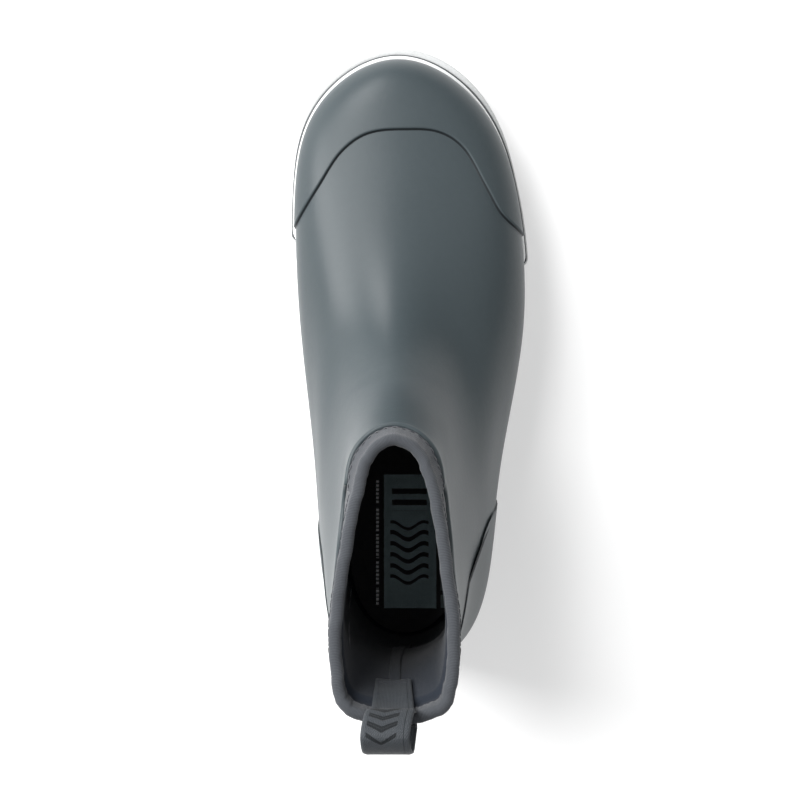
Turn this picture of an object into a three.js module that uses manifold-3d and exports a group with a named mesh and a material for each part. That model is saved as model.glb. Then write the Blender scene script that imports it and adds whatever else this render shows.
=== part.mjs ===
// A right ankle deck boot: a moulded rubber shell over a neoprene bootie, on a white non-marking cup sole.
// Millimetres, +Z up, toe towards +Y, outer side of the foot towards +X. The sole stands on Z = 0.
import * as THREE from "three";
import { mergeVertices } from "three/addons/utils/BufferGeometryUtils.js";
import Module from "manifold-3d";

const wasm = await Module();
wasm.setup();

// ---- Driving dimensions ------------------------------------------------------------------------

// The outside of the rubber shell is a smooth skin over these girth lines, lowest first. Each line runs
// from the back of the heel to the toe or shin: [y, z] at both ends, then its half-width at each station.
// `shaft` is how far its middle has moved from the foot's centre line to the shaft's, `rise` bends it upwards.
const STATIONS = [0, 0.035, 0.14, 0.33, 0.55, 0.76, 0.92, 1];
const FOOT_CENTRE = [2.6, 2.6, 2.8, 3.7, 5.5, 3.1, -0.2, -0.8];
const SHAFT_CENTRE = -2.1;
const GIRTHS = [
  { name: "lasting edge", back: [-115.5, 8.4], front: [154, 17.8], half: [21.5, 34.2, 38.6, 48, 48.6, 34.8], shaft: 0, rise: 5 },
  { name: "welt", back: [-118, 26], front: [156.5, 33], half: [22.6, 35.6, 40.8, 50.2, 50.2, 36.6], shaft: 0, rise: 4 },
  { name: "ball and heel", back: [-120.8, 43], front: [157, 45], half: [23.8, 37.2, 43, 51.4, 50.9, 37.3], shaft: 0, rise: 1 },
  { name: "toe shoulder", back: [-120.6, 59], front: [147.5, 56], half: [23.4, 35.9, 41, 46, 43.8, 30.2], shaft: 0.12, rise: 1 },
  { name: "toe roof", back: [-118.4, 74], front: [120, 63], half: [22.2, 33.4, 38, 39.4, 34.6, 21.5], shaft: 0.35, rise: 1 },
  { name: "instep", back: [-115.8, 90], front: [66, 75], half: [20.8, 30.6, 34.2, 33.2, 27.4, 16.8], shaft: 0.65, rise: 1 },
  { name: "ankle", back: [-114.2, 108], front: [27, 94], half: [19, 28.2, 31, 28.6, 23.6, 14.9], shaft: 0.85, rise: 1 },
  { name: "shin bend", back: [-114.6, 128], front: [6, 117], half: [17, 26, 28.2, 24.8, 21.4, 14.8], shaft: 0.95, rise: 1 },
  { name: "shaft", back: [-118, 150], front: [-4, 141], half: [17, 24.4, 26, 22.6, 20.6, 15.4], shaft: 1, rise: 1 },
  { name: "rim", back: [-125, 181], front: [-12, 171], half: [18.6, 24.6, 25.6, 22.7, 20.2, 16], shaft: 1, rise: 1 },
];
const FIT_PASSES = 40;

const COLUMN_COUNT = 42; // columns round the boot, more where a piece ends
const GAP = 0.3; // bonded faces are modelled this far apart

const SHELL_THICK = 2.4;
const STIFFENER_THICK = 1.2;
const BOOTIE_THICK = 1.9;
const LINING_THICK = 0.8;
const OVERLAY_IN = 0.5; // the toe cap and heel counter lie on the shell
const OVERLAY_OUT = 1.5;

const COLLAR_DEPTH = 13; // bootie showing above the shell's top edge
const NOTCH_DEPTH = 27; // side notches that let the ankle stretch
const NOTCH_HALF = 20;
const NOTCH_MIDDLE = -57;
const COLLAR_SWELL = 1.9; // the bootie swells outwards once it leaves the shell
const SWELL_START = 1;
const SWELL_LENGTH = 4.5;

const TOE_SPRING = { from: 50, to: 160, lift: 10.5 };
const HEEL_BEVEL = { from: -108, to: -124, lift: 1.5 };
const TREAD_DEPTH = 2.5;
const SOLE_FLOOR = 6;

// Layers over the sole's floor, height above the ground under the heel and under the ball of the foot.
const HEEL_END = -55;
const BALL_END = 10;
const MIDSOLE_TOP = [20, 15];
const BOARD_THICK = 2;
const BOOTIE_FLOOR = 2.4;
const LINING_FLOOR = 1;
const FOOTBED_THICK = [5.6, 4.6];
const COVER_THICK = 0.8;

const BUMPER_END = { 1: 64, [-1]: 76 }; // where the toe cap and bumper stop, outer side and inner side
const BUMPER_STEP = 3;
const TAB_WIDTH = 18.5;
const TAB_THICK = 1.6;
const TAB_LEAN = -0.15;
const TAB_X = -2.8;

// Plan of the toe cap's back edge, [x, y], and profiles of the heel counter's top edge, [y, z].
const CAP_LINE = [[-62, 56], [-50, 77], [-37, 97], [-27, 112], [-15, 120.5], [3, 122.5], [18.5, 121.2], [29.5, 113.5], [39.5, 96], [46, 85], [58, 75], [70, 62]];
const COUNTER_OUTER = [[-126, 129], [-110, 127.5], [-93, 120], [-82, 110.5], [-74, 100], [-66.5, 88], [-59.5, 75], [-52.5, 59], [-46.8, 43], [-44.3, 26], [-43.2, 10]];
const COUNTER_INNER = [[-126, 129], [-113, 125], [-100, 114], [-90, 101.5], [-79.7, 85], [-70.5, 66], [-64, 55], [-58, 46], [-53.3, 36], [-51.5, 26], [-50.5, 10]];

// ---- Small tools -------------------------------------------------------------------------------

const clamp01 = (x) => Math.min(1, Math.max(0, x));
const smooth = (x) => clamp01(x) ** 2 * (3 - 2 * clamp01(x));
const mix = (a, b, t) => a + (b - a) * t;

// A smooth function through [x, value] points in order of x.
function through(points) {
  const slope = points.map((p, i) => {
    const before = points[Math.max(0, i - 1)];
    const after = points[Math.min(points.length - 1, i + 1)];
    return (after[1] - before[1]) / (after[0] - before[0]);
  });
  return (x) => {
    let i = points.findIndex((p) => p[0] > x) - 1;
    if (i === -2) i = points.length - 2;
    i = Math.max(0, i);
    const width = points[i + 1][0] - points[i][0];
    const t = clamp01((x - points[i][0]) / width);
    return (
      points[i][1] * (1 + 2 * t) * (1 - t) ** 2 +
      points[i + 1][1] * t * t * (3 - 2 * t) +
      width * (slope[i] * t * (1 - t) ** 2 - slope[i + 1] * t * t * (1 - t))
    );
  };
}

// The control points of a cubic B-spline that passes through the given points.
function controls(points, closed) {
  const n = points.length;
  let net = points.map((p) => p.clone());
  const at = (i) => {
    if (closed) return net[(i + n) % n];
    if (i < 0) return net[0].clone().multiplyScalar(2).sub(net[1]);
    if (i >= n) return net[n - 1].clone().multiplyScalar(2).sub(net[n - 2]);
    return net[i];
  };
  for (let pass = 0; pass < FIT_PASSES; pass++) {
    net = net.map((c, i) => {
      const reached = at(i - 1).clone().add(at(i + 1)).addScaledVector(c, 4).divideScalar(6);
      return c.clone().add(points[i]).sub(reached);
    });
  }
  return closed ? net : [at(-1), ...net, at(n)];
}

const basis = (t) => [(1 - t) ** 3 / 6, (3 * t ** 3 - 6 * t ** 2 + 4) / 6, (1 + 3 * t + 3 * t ** 2 - 3 * t ** 3) / 6, t ** 3 / 6];

// Where a rising function of x reaches zero between low and high.
function crossing(low, high, value) {
  for (let k = 0; k < 40; k++) {
    const middle = (low + high) / 2;
    if (value(middle) > 0) high = middle;
    else low = middle;
  }
  return (low + high) / 2;
}

// ---- The boot's skin ---------------------------------------------------------------------------

// One girth line as a closed row of points: up the outer side from the heel to the toe, back down the inner side.
function girthRow({ back, front, half, shaft, rise }) {
  const widths = [0, ...half, 0];
  const place = (k, side) => {
    const s = STATIONS[k];
    const centre = mix(FOOT_CENTRE[k], SHAFT_CENTRE, shaft);
    return new THREE.Vector3(centre + side * widths[k], mix(back[0], front[0], s), mix(back[1], front[1], s ** rise));
  };
  const outer = STATIONS.map((_, k) => place(k, 1));
  const inner = STATIONS.map((_, k) => place(k, -1)).slice(1, -1).reverse();
  return [...outer, ...inner];
}

const rows = GIRTHS.map((girth) => controls(girthRow(girth), true));
const ROUND = rows[0].length;
const TOP = GIRTHS.length - 1;
const net = rows[0].map((_, i) => controls(rows.map((row) => row[i]), false));

// The skin at u round the boot (0 at the heel, ROUND / 2 at the toe) and v up it (0 to TOP).
function skin(u, v) {
  const i = Math.floor(u);
  const j = Math.min(TOP - 1, Math.max(0, Math.floor(v)));
  const across = basis(u - i);
  const up = basis(v - j);
  const point = new THREE.Vector3();
  across.forEach((a, k) => {
    const column = net[(i + k - 1 + ROUND) % ROUND];
    up.forEach((b, m) => point.addScaledVector(column[j + m], a * b));
  });
  return point;
}

function outward(u, v) {
  const step = 0.02;
  const low = Math.max(0, v - step);
  const high = Math.min(TOP, v + step);
  const along = skin(u + step, v).sub(skin(u - step + ROUND, v));
  const rising = skin(u, high).sub(skin(u, low));
  return along.cross(rising).normalize();
}

const offset = (u, v, out) => skin(u, v).addScaledVector(outward(u, v), out);
const rowAtHeight = (u, z) => crossing(0, TOP, (v) => skin(u, v).z - z);

// The skin's plan at height z, moved out level by `out`. Below the lasting edge it keeps that edge's plan.
function wall(u, z, out) {
  const v = rowAtHeight(u, z);
  const level = outward(u, v).setZ(0).normalize();
  return skin(u, v).addScaledVector(level, out).setZ(z);
}

const sideOf = (u) => (u < ROUND / 2 ? 1 : -1);
const columnAt = (side, y) =>
  side > 0
    ? crossing(0, ROUND / 2, (u) => skin(u, 2).y - y)
    : crossing(ROUND / 2, ROUND, (u) => y - skin(u, 2).y);

// Columns where a piece ends: the bumper's two ends, and the edges of the pull tab at the back of the rim.
const bumperEnds = [1, -1].flatMap((side) =>
  [BUMPER_END[side] - BUMPER_STEP, BUMPER_END[side] + BUMPER_STEP].map((y) => columnAt(side, y)),
);
const tabEdges = [
  crossing(0, 2, (u) => skin(u, TOP).x - TAB_X - TAB_WIDTH / 2),
  crossing(ROUND - 2, ROUND, (u) => skin(u, TOP).x - TAB_X + TAB_WIDTH / 2),
];
const fixed = [...bumperEnds, ...tabEdges];
const regular = Array.from({ length: COLUMN_COUNT }, (_, i) => ((i + 0.5) * ROUND) / COLUMN_COUNT);
const COLUMNS = [...regular.filter((u) => fixed.every((f) => Math.abs(f - u) > 0.09)), ...fixed].sort((a, b) => a - b);
const between = (from, to) => COLUMNS.filter((u) => u >= from - 1e-6 && u <= to + 1e-6);

// ---- Heights and layers ------------------------------------------------------------------------

function ground(y) {
  const toe = clamp01((y - TOE_SPRING.from) / (TOE_SPRING.to - TOE_SPRING.from));
  const heel = clamp01((y - HEEL_BEVEL.from) / (HEEL_BEVEL.to - HEEL_BEVEL.from));
  return TOE_SPRING.lift * toe ** 2 + HEEL_BEVEL.lift * heel ** 2;
}
const ballShare = (y) => smooth((y - HEEL_END) / (BALL_END - HEEL_END));
const layer = ([heel, ball], y) => ground(y) + mix(heel, ball, ballShare(y));
const raise = (pair, by) => pair.map((z) => z + by);

const BOARD_BASE = raise(MIDSOLE_TOP, GAP);
const BOARD_TOP = raise(BOARD_BASE, BOARD_THICK);
const BOOTIE_BASE = raise(BOARD_TOP, GAP);
const BOOTIE_TOP = raise(BOOTIE_BASE, BOOTIE_FLOOR);
const LINING_BASE = raise(BOOTIE_TOP, GAP);
const LINING_TOP = raise(LINING_BASE, LINING_FLOOR);
const FOOTBED_BASE = raise(LINING_TOP, GAP);
const FOOTBED_TOP = FOOTBED_BASE.map((z, k) => z + FOOTBED_THICK[k]);
const COVER_BASE = raise(FOOTBED_TOP, GAP);
const COVER_TOP = raise(COVER_BASE, COVER_THICK);

// A level ring inside or outside the skin, following a layer's height.
const ring = (pair, out) =>
  COLUMNS.map((u) => {
    const z = layer(pair, skin(u, 0).y);
    return wall(u, z, out);
  });

// The shell's top edge on a column: a collar's depth below the rim, and lower in the side notches.
function shellTop(u) {
  const rim = skin(u, TOP);
  const across = Math.abs(rim.y - NOTCH_MIDDLE) / NOTCH_HALF;
  const notch = 1 - smooth((across - 0.25) / 0.75);
  return rowAtHeight(u, rim.z - COLLAR_DEPTH - NOTCH_DEPTH * notch);
}

// How far the soft layers stand out of their place under the shell, `above` the shell's edge.
const swell = (above) => COLLAR_SWELL * smooth((above - SWELL_START) / SWELL_LENGTH);

// How far the soft layers give way to the toe puff and heel stiffener.
function sunk(point) {
  const toe = smooth((point.y - 60) / 20);
  const heel = smooth((-point.y - 38) / 18) * (1 - smooth((point.z - 88) / 16));
  return (STIFFENER_THICK + GAP) * Math.max(toe, heel);
}

// ---- Solids ------------------------------------------------------------------------------------

// `flipped` tells which quads take the other diagonal, so that the two faces of a layer are cut alike.
function meshOf(loops, closed, capped, flipped) {
  const n = loops[0].length;
  const position = loops.flat().flatMap((p) => p.toArray());
  const index = [];
  const quad = (a, b, c, d, other) => (other ? index.push(a, b, d, b, c, d) : index.push(a, b, c, a, c, d));
  const last = closed ? loops.length : loops.length - 1;
  for (let k = 0; k < last; k++) {
    const here = k * n;
    const next = ((k + 1) % loops.length) * n;
    for (let i = 0; i < n; i++) quad(here + i, here + ((i + 1) % n), next + ((i + 1) % n), next + i, flipped(k, i));
  }
  if (capped) {
    for (let j = 0; j < n / 2 - 1; j++) {
      quad(n - 1 - j, n - 2 - j, j + 1, j);
      const end = (loops.length - 1) * n;
      quad(end + j, end + j + 1, end + n - 2 - j, end + n - 1 - j, true);
    }
  }
  const geometry = new THREE.BufferGeometry();
  geometry.setAttribute("position", new THREE.Float32BufferAttribute(position, 3));
  geometry.setIndex(index);
  return facingOut(geometry);
}

function facingOut(geometry) {
  const p = geometry.attributes.position;
  const index = geometry.index.array;
  const [a, b, c] = [new THREE.Vector3(), new THREE.Vector3(), new THREE.Vector3()];
  let volume = 0;
  for (let k = 0; k < index.length; k += 3) {
    a.fromBufferAttribute(p, index[k]);
    b.fromBufferAttribute(p, index[k + 1]);
    c.fromBufferAttribute(p, index[k + 2]);
    volume += a.dot(b.cross(c));
  }
  if (volume < 0) for (let k = 0; k < index.length; k += 3) [index[k], index[k + 1]] = [index[k + 1], index[k]];
  return geometry;
}

// Sections swept round the boot and joined end to end, or along part of it and closed at both ends.
const returning = (section) => (k, i) => i >= section.length / 2;
const hoop = (sections) => meshOf(sections, true, false, returning(sections[0]));
const strip = (sections) => meshOf(sections, false, true, returning(sections[0]));
// Rings stacked from one flat end to the other.
const stack = (rings) => meshOf(rings, false, true, (k) => k >= rings.length / 2);

function toSolid(geometry) {
  const bare = geometry.clone();
  Object.keys(bare.attributes).filter((key) => key !== "position").forEach((key) => bare.deleteAttribute(key));
  const merged = mergeVertices(bare, 1e-4);
  return new wasm.Manifold(
    new wasm.Mesh({
      numProp: 3,
      vertProperties: new Float32Array(merged.attributes.position.array),
      triVerts: new Uint32Array(merged.index.array),
    }),
  );
}

function toGeometry(solid) {
  const mesh = solid.getMesh();
  const geometry = new THREE.BufferGeometry();
  geometry.setAttribute("position", new THREE.Float32BufferAttribute(mesh.vertProperties, 3));
  geometry.setIndex(Array.from(mesh.triVerts));
  return geometry;
}

function block(low, high) {
  const size = high.map((h, k) => h - low[k]);
  return new THREE.BoxGeometry(...size).translate(...low.map((l, k) => l + size[k] / 2));
}

// A closed outline in the Y-Z plane, pushed along X from -width / 2 to width / 2.
function sidePlate(outline, width) {
  const shape = new THREE.Shape(outline.map(([y, z]) => new THREE.Vector2(y, z)));
  const plate = new THREE.ExtrudeGeometry(shape, { depth: width, bevelEnabled: false, curveSegments: 8 });
  return plate.translate(0, 0, -width / 2).applyMatrix4(new THREE.Matrix4().set(0, 0, 1, 0, 1, 0, 0, 0, 0, 1, 0, 0, 0, 0, 0, 1));
}

const material = (color, roughness, metalness = 0) => new THREE.MeshStandardMaterial({ color, roughness, metalness });
const SLATE_RUBBER = material(0x566062, 0.45);
const WHITE_RUBBER = material(0xe4e6e6, 0.55);
const GREY_NEOPRENE = material(0x6b6c74, 0.95);
const GREY_KNIT = material(0x5c5c64, 0.95);
const DARK_JERSEY = material(0x2c333e, 0.95);
const BLACK_CLOTH = material(0x0d0d0f, 0.9);
const FOAM = material(0x2a2d30, 0.85);
const WEBBING = material(0x5d666b, 0.8);
const BOARD = material(0x8a7a62, 0.9);
const STEEL = material(0x9a9ea2, 0.35, 1);
const STIFF_PLASTIC = material(0x33363a, 0.6);

const boot = new THREE.Group();
function add(name, geometry, look) {
  const mesh = new THREE.Mesh(geometry, look);
  mesh.name = name;
  boot.add(mesh);
  return mesh;
}

// ---- Sole unit ---------------------------------------------------------------------------------

// Outsole: how far its outer wall stands out of the skin. It flares round the toe and steps in where the bumper stops.
function flare(u, share) {
  const { y } = skin(u, 1);
  const side = sideOf(u);
  const sideFlare = side > 0 ? 6.2 : 5.6;
  const toeFlare = mix(sideFlare, 10.6, smooth((y - 100) / 55));
  return mix(2.5, toeFlare, share);
}
const bumperShare = (u) => clamp01((skin(u, 2).y - BUMPER_END[sideOf(u)] + BUMPER_STEP) / (2 * BUMPER_STEP));
const topFlare = (u) => flare(u, bumperShare(u));
const footFlare = (u) => flare(u, smooth((skin(u, 2).y - 30) / 55));
const wallHeight = (u) => mix(21, 19, smooth((skin(u, 1).y + 40) / 60));
const innerWall = (u) => Math.max(OVERLAY_OUT * smooth((-skin(u, 1).y - 24) / 8), OVERLAY_OUT * bumperShare(u)) + OVERLAY_IN;
const LEDGE = 12; // the bumper stands on this ledge inside the wall

const soleRing = (height, out) =>
  COLUMNS.map((u) => {
    const lift = ground(skin(u, 0).y);
    return wall(u, lift + height(u), out(u));
  });
const ledgeOut = (u) => innerWall(u) + 2.7 * bumperShare(u) + 0.05;
const outsoleCup = stack([
  soleRing(() => SOLE_FLOOR, (u) => innerWall(u) - 8),
  soleRing(() => SOLE_FLOOR, innerWall),
  soleRing(() => LEDGE, innerWall),
  soleRing(() => LEDGE + 0.05, ledgeOut),
  soleRing((u) => wallHeight(u), (u) => ledgeOut(u) + 0.05),
  soleRing((u) => wallHeight(u) - 0.2, (u) => Math.max(topFlare(u) - 1.2, ledgeOut(u) + 0.3)),
  soleRing((u) => wallHeight(u) - 1.6, (u) => topFlare(u) - 0.2),
  soleRing(() => 11, topFlare),
  soleRing(() => 8.5, footFlare),
  soleRing(() => 2, (u) => footFlare(u) - 0.5),
  soleRing(() => 0, (u) => footFlare(u) - 1.6),
  soleRing(() => 0, (u) => footFlare(u) - 7.5),
  soleRing(() => TREAD_DEPTH, (u) => footFlare(u) - 8.2),
]);

// Tread: zigzag bars across the forefoot and the heel, trimmed to lie inside the sole's rim.
const BAR_PITCH = 13;
const BAR_WIDTH = 9.2;
const ZIG_PITCH = 15;
const ZIG_DEPTH = 3.2;
function treadBar(y) {
  const zigs = Array.from({ length: 9 }, (_, k) => [(k - 4) * ZIG_PITCH + 3, (k % 2 ? 1 : -1) * ZIG_DEPTH]);
  const outline = [
    ...zigs.map(([x, dy]) => new THREE.Vector2(x, y + dy - BAR_WIDTH / 2)),
    ...zigs.map(([x, dy]) => new THREE.Vector2(x, y + dy + BAR_WIDTH / 2)).reverse(),
  ];
  const bar = new THREE.ExtrudeGeometry(new THREE.Shape(outline), { depth: TREAD_DEPTH + 1, bevelEnabled: false });
  return toSolid(bar.translate(0, 0, ground(y)));
}
const barRows = [];
for (let y = -98; y < 140; y += BAR_PITCH) if (y < -50 || y > -12) barRows.push(y);
const treadArea = toSolid(stack([-5, 40].map((z) => COLUMNS.map((u) => wall(u, 0, footFlare(u) - 7).setZ(z)))));
const lugs = barRows.map((y) => treadBar(y).intersect(treadArea));
add("outsole", toGeometry(lugs.reduce((sole, lug) => sole.add(lug), toSolid(outsoleCup))), WHITE_RUBBER);

// Toe bumper: a second white band that wraps the toe above the outsole's wall.
const toeColumns = between(columnAt(1, BUMPER_END[1]), columnAt(-1, BUMPER_END[-1]));
add(
  "toe_bumper",
  strip(
    toeColumns.map((u) => {
      const lift = ground(skin(u, 0).y);
      const top = mix(23.6, 24.8, smooth((skin(u, 1).y - 100) / 55));
      const at = (height, out) => wall(u, lift + height, OVERLAY_OUT + out);
      return [at(LEDGE + 0.6, 2.6), at(top - 2.2, 2.6), at(top - 0.5, 2.1), at(top, 1.3), at(top - 0.2, 0.5), at(LEDGE + 0.6, 0.5)];
    }),
  ),
  WHITE_RUBBER,
);

// Midsole: foam, with a groove for the shank and a pocket for the heel cushion in its top.
const INSIDE_SHELL = -(SHELL_THICK + GAP);
const SHANK = { from: -78, to: 18, width: 15, thick: 1.2, segments: 12 };
const CUSHION = { y: -86, radius: 21, thick: 5 };
const CUSHION_SIDES = 28;
const footCentre = through(STATIONS.map((s, k) => [mix(GIRTHS[0].back[0], GIRTHS[0].front[0], s), FOOT_CENTRE[k]]));

function shankOutline(spread, top) {
  const stations = Array.from({ length: SHANK.segments + 1 }, (_, k) => mix(SHANK.from - spread, SHANK.to + spread, k / SHANK.segments));
  const seat = (y) => layer(MIDSOLE_TOP, y) - SHANK.thick - GAP;
  return [...stations.map((y) => [y, seat(y) - spread]), ...stations.map((y) => [y, seat(y) + top]).reverse()];
}
const cushionDisc = (radius, low, high) => {
  const x = footCentre(CUSHION.y);
  return new THREE.CylinderGeometry(radius, radius, high - low, CUSHION_SIDES)
    .rotateX(Math.PI / 2)
    .translate(x, CUSHION.y, (low + high) / 2);
};
const shankX = footCentre((SHANK.from + SHANK.to) / 2);
const midsoleBlank = toSolid(
  stack([
    ring([SOLE_FLOOR + GAP, SOLE_FLOOR + GAP], INSIDE_SHELL - 4),
    ring([SOLE_FLOOR + GAP, SOLE_FLOOR + GAP], INSIDE_SHELL),
    ring(MIDSOLE_TOP, INSIDE_SHELL),
    ring(MIDSOLE_TOP, INSIDE_SHELL - 4),
  ]),
);
const shankGroove = toSolid(sidePlate(shankOutline(GAP, 6), SHANK.width + 2 * GAP).translate(shankX, 0, 0));
const cushionTop = MIDSOLE_TOP[0] - SHANK.thick - 3 * GAP;
const cushionPocket = toSolid(cushionDisc(CUSHION.radius + GAP, cushionTop - CUSHION.thick - GAP, 40));
add("midsole", toGeometry(midsoleBlank.subtract(shankGroove).subtract(cushionPocket)), FOAM);
add("shank", sidePlate(shankOutline(0, SHANK.thick), SHANK.width).translate(shankX, 0, 0), STEEL);
add("heel_cushion", cushionDisc(CUSHION.radius, cushionTop - CUSHION.thick, cushionTop), FOAM);

// Insole board: the stiff sheet that the upper is lasted round.
add(
  "insole_board",
  stack([ring(BOARD_BASE, INSIDE_SHELL - 4), ring(BOARD_BASE, INSIDE_SHELL), ring(BOARD_TOP, INSIDE_SHELL), ring(BOARD_TOP, INSIDE_SHELL - 4)]),
  BOARD,
);

// ---- Upper -------------------------------------------------------------------------------------

// Rows shared by every layer of the upper, so that bonded faces stay parallel.
const SHELL_ROWS = 11;
const COLLAR_ROWS = [SWELL_START, SWELL_START + SWELL_LENGTH / 2, SWELL_START + SWELL_LENGTH];
function rowsUnderShell(u) {
  const floorRow = rowAtHeight(u, layer(BOOTIE_BASE, skin(u, 0).y));
  const top = shellTop(u);
  return Array.from({ length: SHELL_ROWS }, (_, k) => mix(floorRow, top, k / (SHELL_ROWS - 1)));
}
function rowsAboveShell(u) {
  const edge = skin(u, shellTop(u)).z;
  const rim = skin(u, TOP).z;
  const swollen = COLLAR_ROWS.map((above) => edge + above);
  const rest = [1, 2, 3].map((k) => mix(swollen.at(-1), rim, k / 3));
  return [...swollen, ...rest].map((z) => ({ v: Math.min(TOP, rowAtHeight(u, z)), above: z - edge }));
}

// Shell: the moulded slate rubber, from inside the sole's wall to its edge below the collar.
add(
  "rubber_shell",
  hoop(
    COLUMNS.map((u) => {
      const up = [0, ...rowsUnderShell(u)];
      return [...up.map((v) => offset(u, v, 0)), ...up.map((v) => offset(u, v, -SHELL_THICK)).reverse()];
    }),
  ),
  SLATE_RUBBER,
);

// The toe cap and heel counter cover are cut from one sheet that lies on the shell.
const tuckedRow = (u) => rowAtHeight(u, ground(skin(u, 0).y) + LEDGE + 1.5);
const sheet = toSolid(
  hoop(
    COLUMNS.map((u) => {
      const up = [tuckedRow(u), ...rowsUnderShell(u).slice(1)];
      return [...up.map((v) => offset(u, v, OVERLAY_OUT)), ...up.map((v) => offset(u, v, OVERLAY_IN)).reverse()];
    }),
  ),
);

// Toe cap: it ends in a swept line across the vamp.
const capLine = through(CAP_LINE);
const capArea = new THREE.Shape([
  ...Array.from({ length: 61 }, (_, k) => mix(CAP_LINE[0][0], CAP_LINE.at(-1)[0], k / 60)).map((x) => new THREE.Vector2(x, capLine(x))),
  new THREE.Vector2(CAP_LINE.at(-1)[0], 180),
  new THREE.Vector2(CAP_LINE[0][0], 180),
]);
const capCutter = new THREE.ExtrudeGeometry(capArea, { depth: 100, bevelEnabled: false });
add("toe_cap", toGeometry(sheet.intersect(toSolid(capCutter))), SLATE_RUBBER);

// Heel counter cover: it rises in a sweep to the back of the shaft, and starts further back on the inner side.
function counterCutter(line, low, high) {
  const profile = through(line);
  const [first, last] = [line[0][0], line.at(-1)[0]];
  const edge = Array.from({ length: 41 }, (_, k) => mix(first, last, k / 40)).map((y) => [y, profile(y)]);
  const area = [...edge, [last, 0], [first - 20, 0], [first - 20, edge[0][1]]];
  return toSolid(sidePlate(area, high - low).translate((low + high) / 2, 0, 0));
}
const counterCut = counterCutter(COUNTER_OUTER, SHAFT_CENTRE, 80).add(counterCutter(COUNTER_INNER, -80, SHAFT_CENTRE + 0.01));
add("heel_counter_cover", toGeometry(sheet.intersect(counterCut)), SLATE_RUBBER);

// Toe puff and heel stiffener: firm sheets between the shell and the bootie.
function stiffener(columns, topRow) {
  const inside = -(SHELL_THICK + GAP + STIFFENER_THICK);
  return strip(
    columns.map((u) => {
      const up = rowsUnderShell(u).slice(0, topRow + 1);
      return [...up.map((v) => offset(u, v, -(SHELL_THICK + GAP))), ...up.map((v) => offset(u, v, inside)).reverse()];
    }),
  );
}
add("toe_puff", stiffener(between(columnAt(1, 88), columnAt(-1, 88)), 3), STIFF_PLASTIC);
const backColumns = [...between(columnAt(-1, -62), ROUND), ...between(0, columnAt(1, -62))];
add("heel_stiffener", stiffener(backColumns, 4), STIFF_PLASTIC);

// The bootie and its lining are cups: outside from the floor to the rim, then inside back to the floor.
// `side` gives one face's rings, from the floor up.
const sheltered = (u, v, depth) => offset(u, v, -depth - sunk(skin(u, v)));
function side(depth, floorPair) {
  const under = COLUMNS.map((u) => rowsUnderShell(u).slice(1));
  const over = COLUMNS.map(rowsAboveShell);
  const lower = under[0].map((_, k) => COLUMNS.map((u, c) => sheltered(u, under[c][k], depth)));
  const upper = over[0].map((_, k) => COLUMNS.map((u, c) => offset(u, over[c][k].v, -depth + swell(over[c][k].above))));
  return [ring(floorPair, -depth - 6), ring(floorPair, -depth - STIFFENER_THICK - GAP), ...lower, ...upper];
}
const BOOTIE_OUT = SHELL_THICK + GAP;
const BOOTIE_IN = BOOTIE_OUT + BOOTIE_THICK;
const LINING_OUT = BOOTIE_IN + GAP;
const LINING_IN = LINING_OUT + LINING_THICK;
add("jersey_lining", stack([...side(LINING_OUT, LINING_BASE), ...side(LINING_IN, LINING_TOP).reverse()]), DARK_JERSEY);

// Bootie: a foot and a shaft of neoprene, sewn edge to edge round the ankle, under the shell.
const SEAM_RING = 7; // how many of a side's rings belong to the foot
const SEAM_OPEN = 0.02; // rows left open between the two edges
const bootieOutside = side(BOOTIE_OUT, BOOTIE_BASE);
const bootieInside = side(BOOTIE_IN, BOOTIE_TOP);
const shaftEdge = (depth) => COLUMNS.map((u) => sheltered(u, rowsUnderShell(u)[SEAM_RING - 2] + SEAM_OPEN, depth));
const shaftSide = (rings, depth) => [shaftEdge(depth), ...rings.slice(SEAM_RING)];
const shaftRings = [...shaftSide(bootieOutside, BOOTIE_OUT), ...shaftSide(bootieInside, BOOTIE_IN).reverse()];
add("neoprene_foot", stack([...bootieOutside.slice(0, SEAM_RING), ...bootieInside.slice(0, SEAM_RING).reverse()]), GREY_NEOPRENE);
add("neoprene_shaft", meshOf(shaftRings, true, false, (k) => k >= shaftRings.length / 2), GREY_NEOPRENE);

// Collar binding: a ribbed knit tape folded over the rim and sewn through both layers.
const BINDING_THICK = 0.8;
const BINDING_DROP = 8;
const rimOuter = -BOOTIE_OUT + COLLAR_SWELL;
const rimInner = -LINING_IN + COLLAR_SWELL;
const rimMiddle = (rimOuter + rimInner) / 2;
const rimHalf = (rimOuter - rimInner) / 2;
function foldedTape(u, reach, drop) {
  const legRow = rowAtHeight(u, skin(u, TOP).z - drop);
  const normal = outward(u, TOP);
  const up = skin(u, TOP).sub(skin(u, TOP - 0.05)).normalize();
  const fold = [0, 1, 2, 3].map((k) => {
    const angle = (k * Math.PI) / 3;
    return skin(u, TOP)
      .addScaledVector(normal, rimMiddle + reach * Math.cos(angle))
      .addScaledVector(up, reach * 0.8 * Math.sin(angle) + GAP);
  });
  return [offset(u, legRow, rimMiddle + reach), ...fold, offset(u, legRow, rimMiddle - reach)];
}
add(
  "collar_binding",
  hoop(
    COLUMNS.map((u) => [
      ...foldedTape(u, rimHalf + GAP + BINDING_THICK, BINDING_DROP),
      ...foldedTape(u, rimHalf + GAP, BINDING_DROP).reverse(),
    ]),
  ),
  GREY_KNIT,
);

// ---- Footbed -----------------------------------------------------------------------------------

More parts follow.
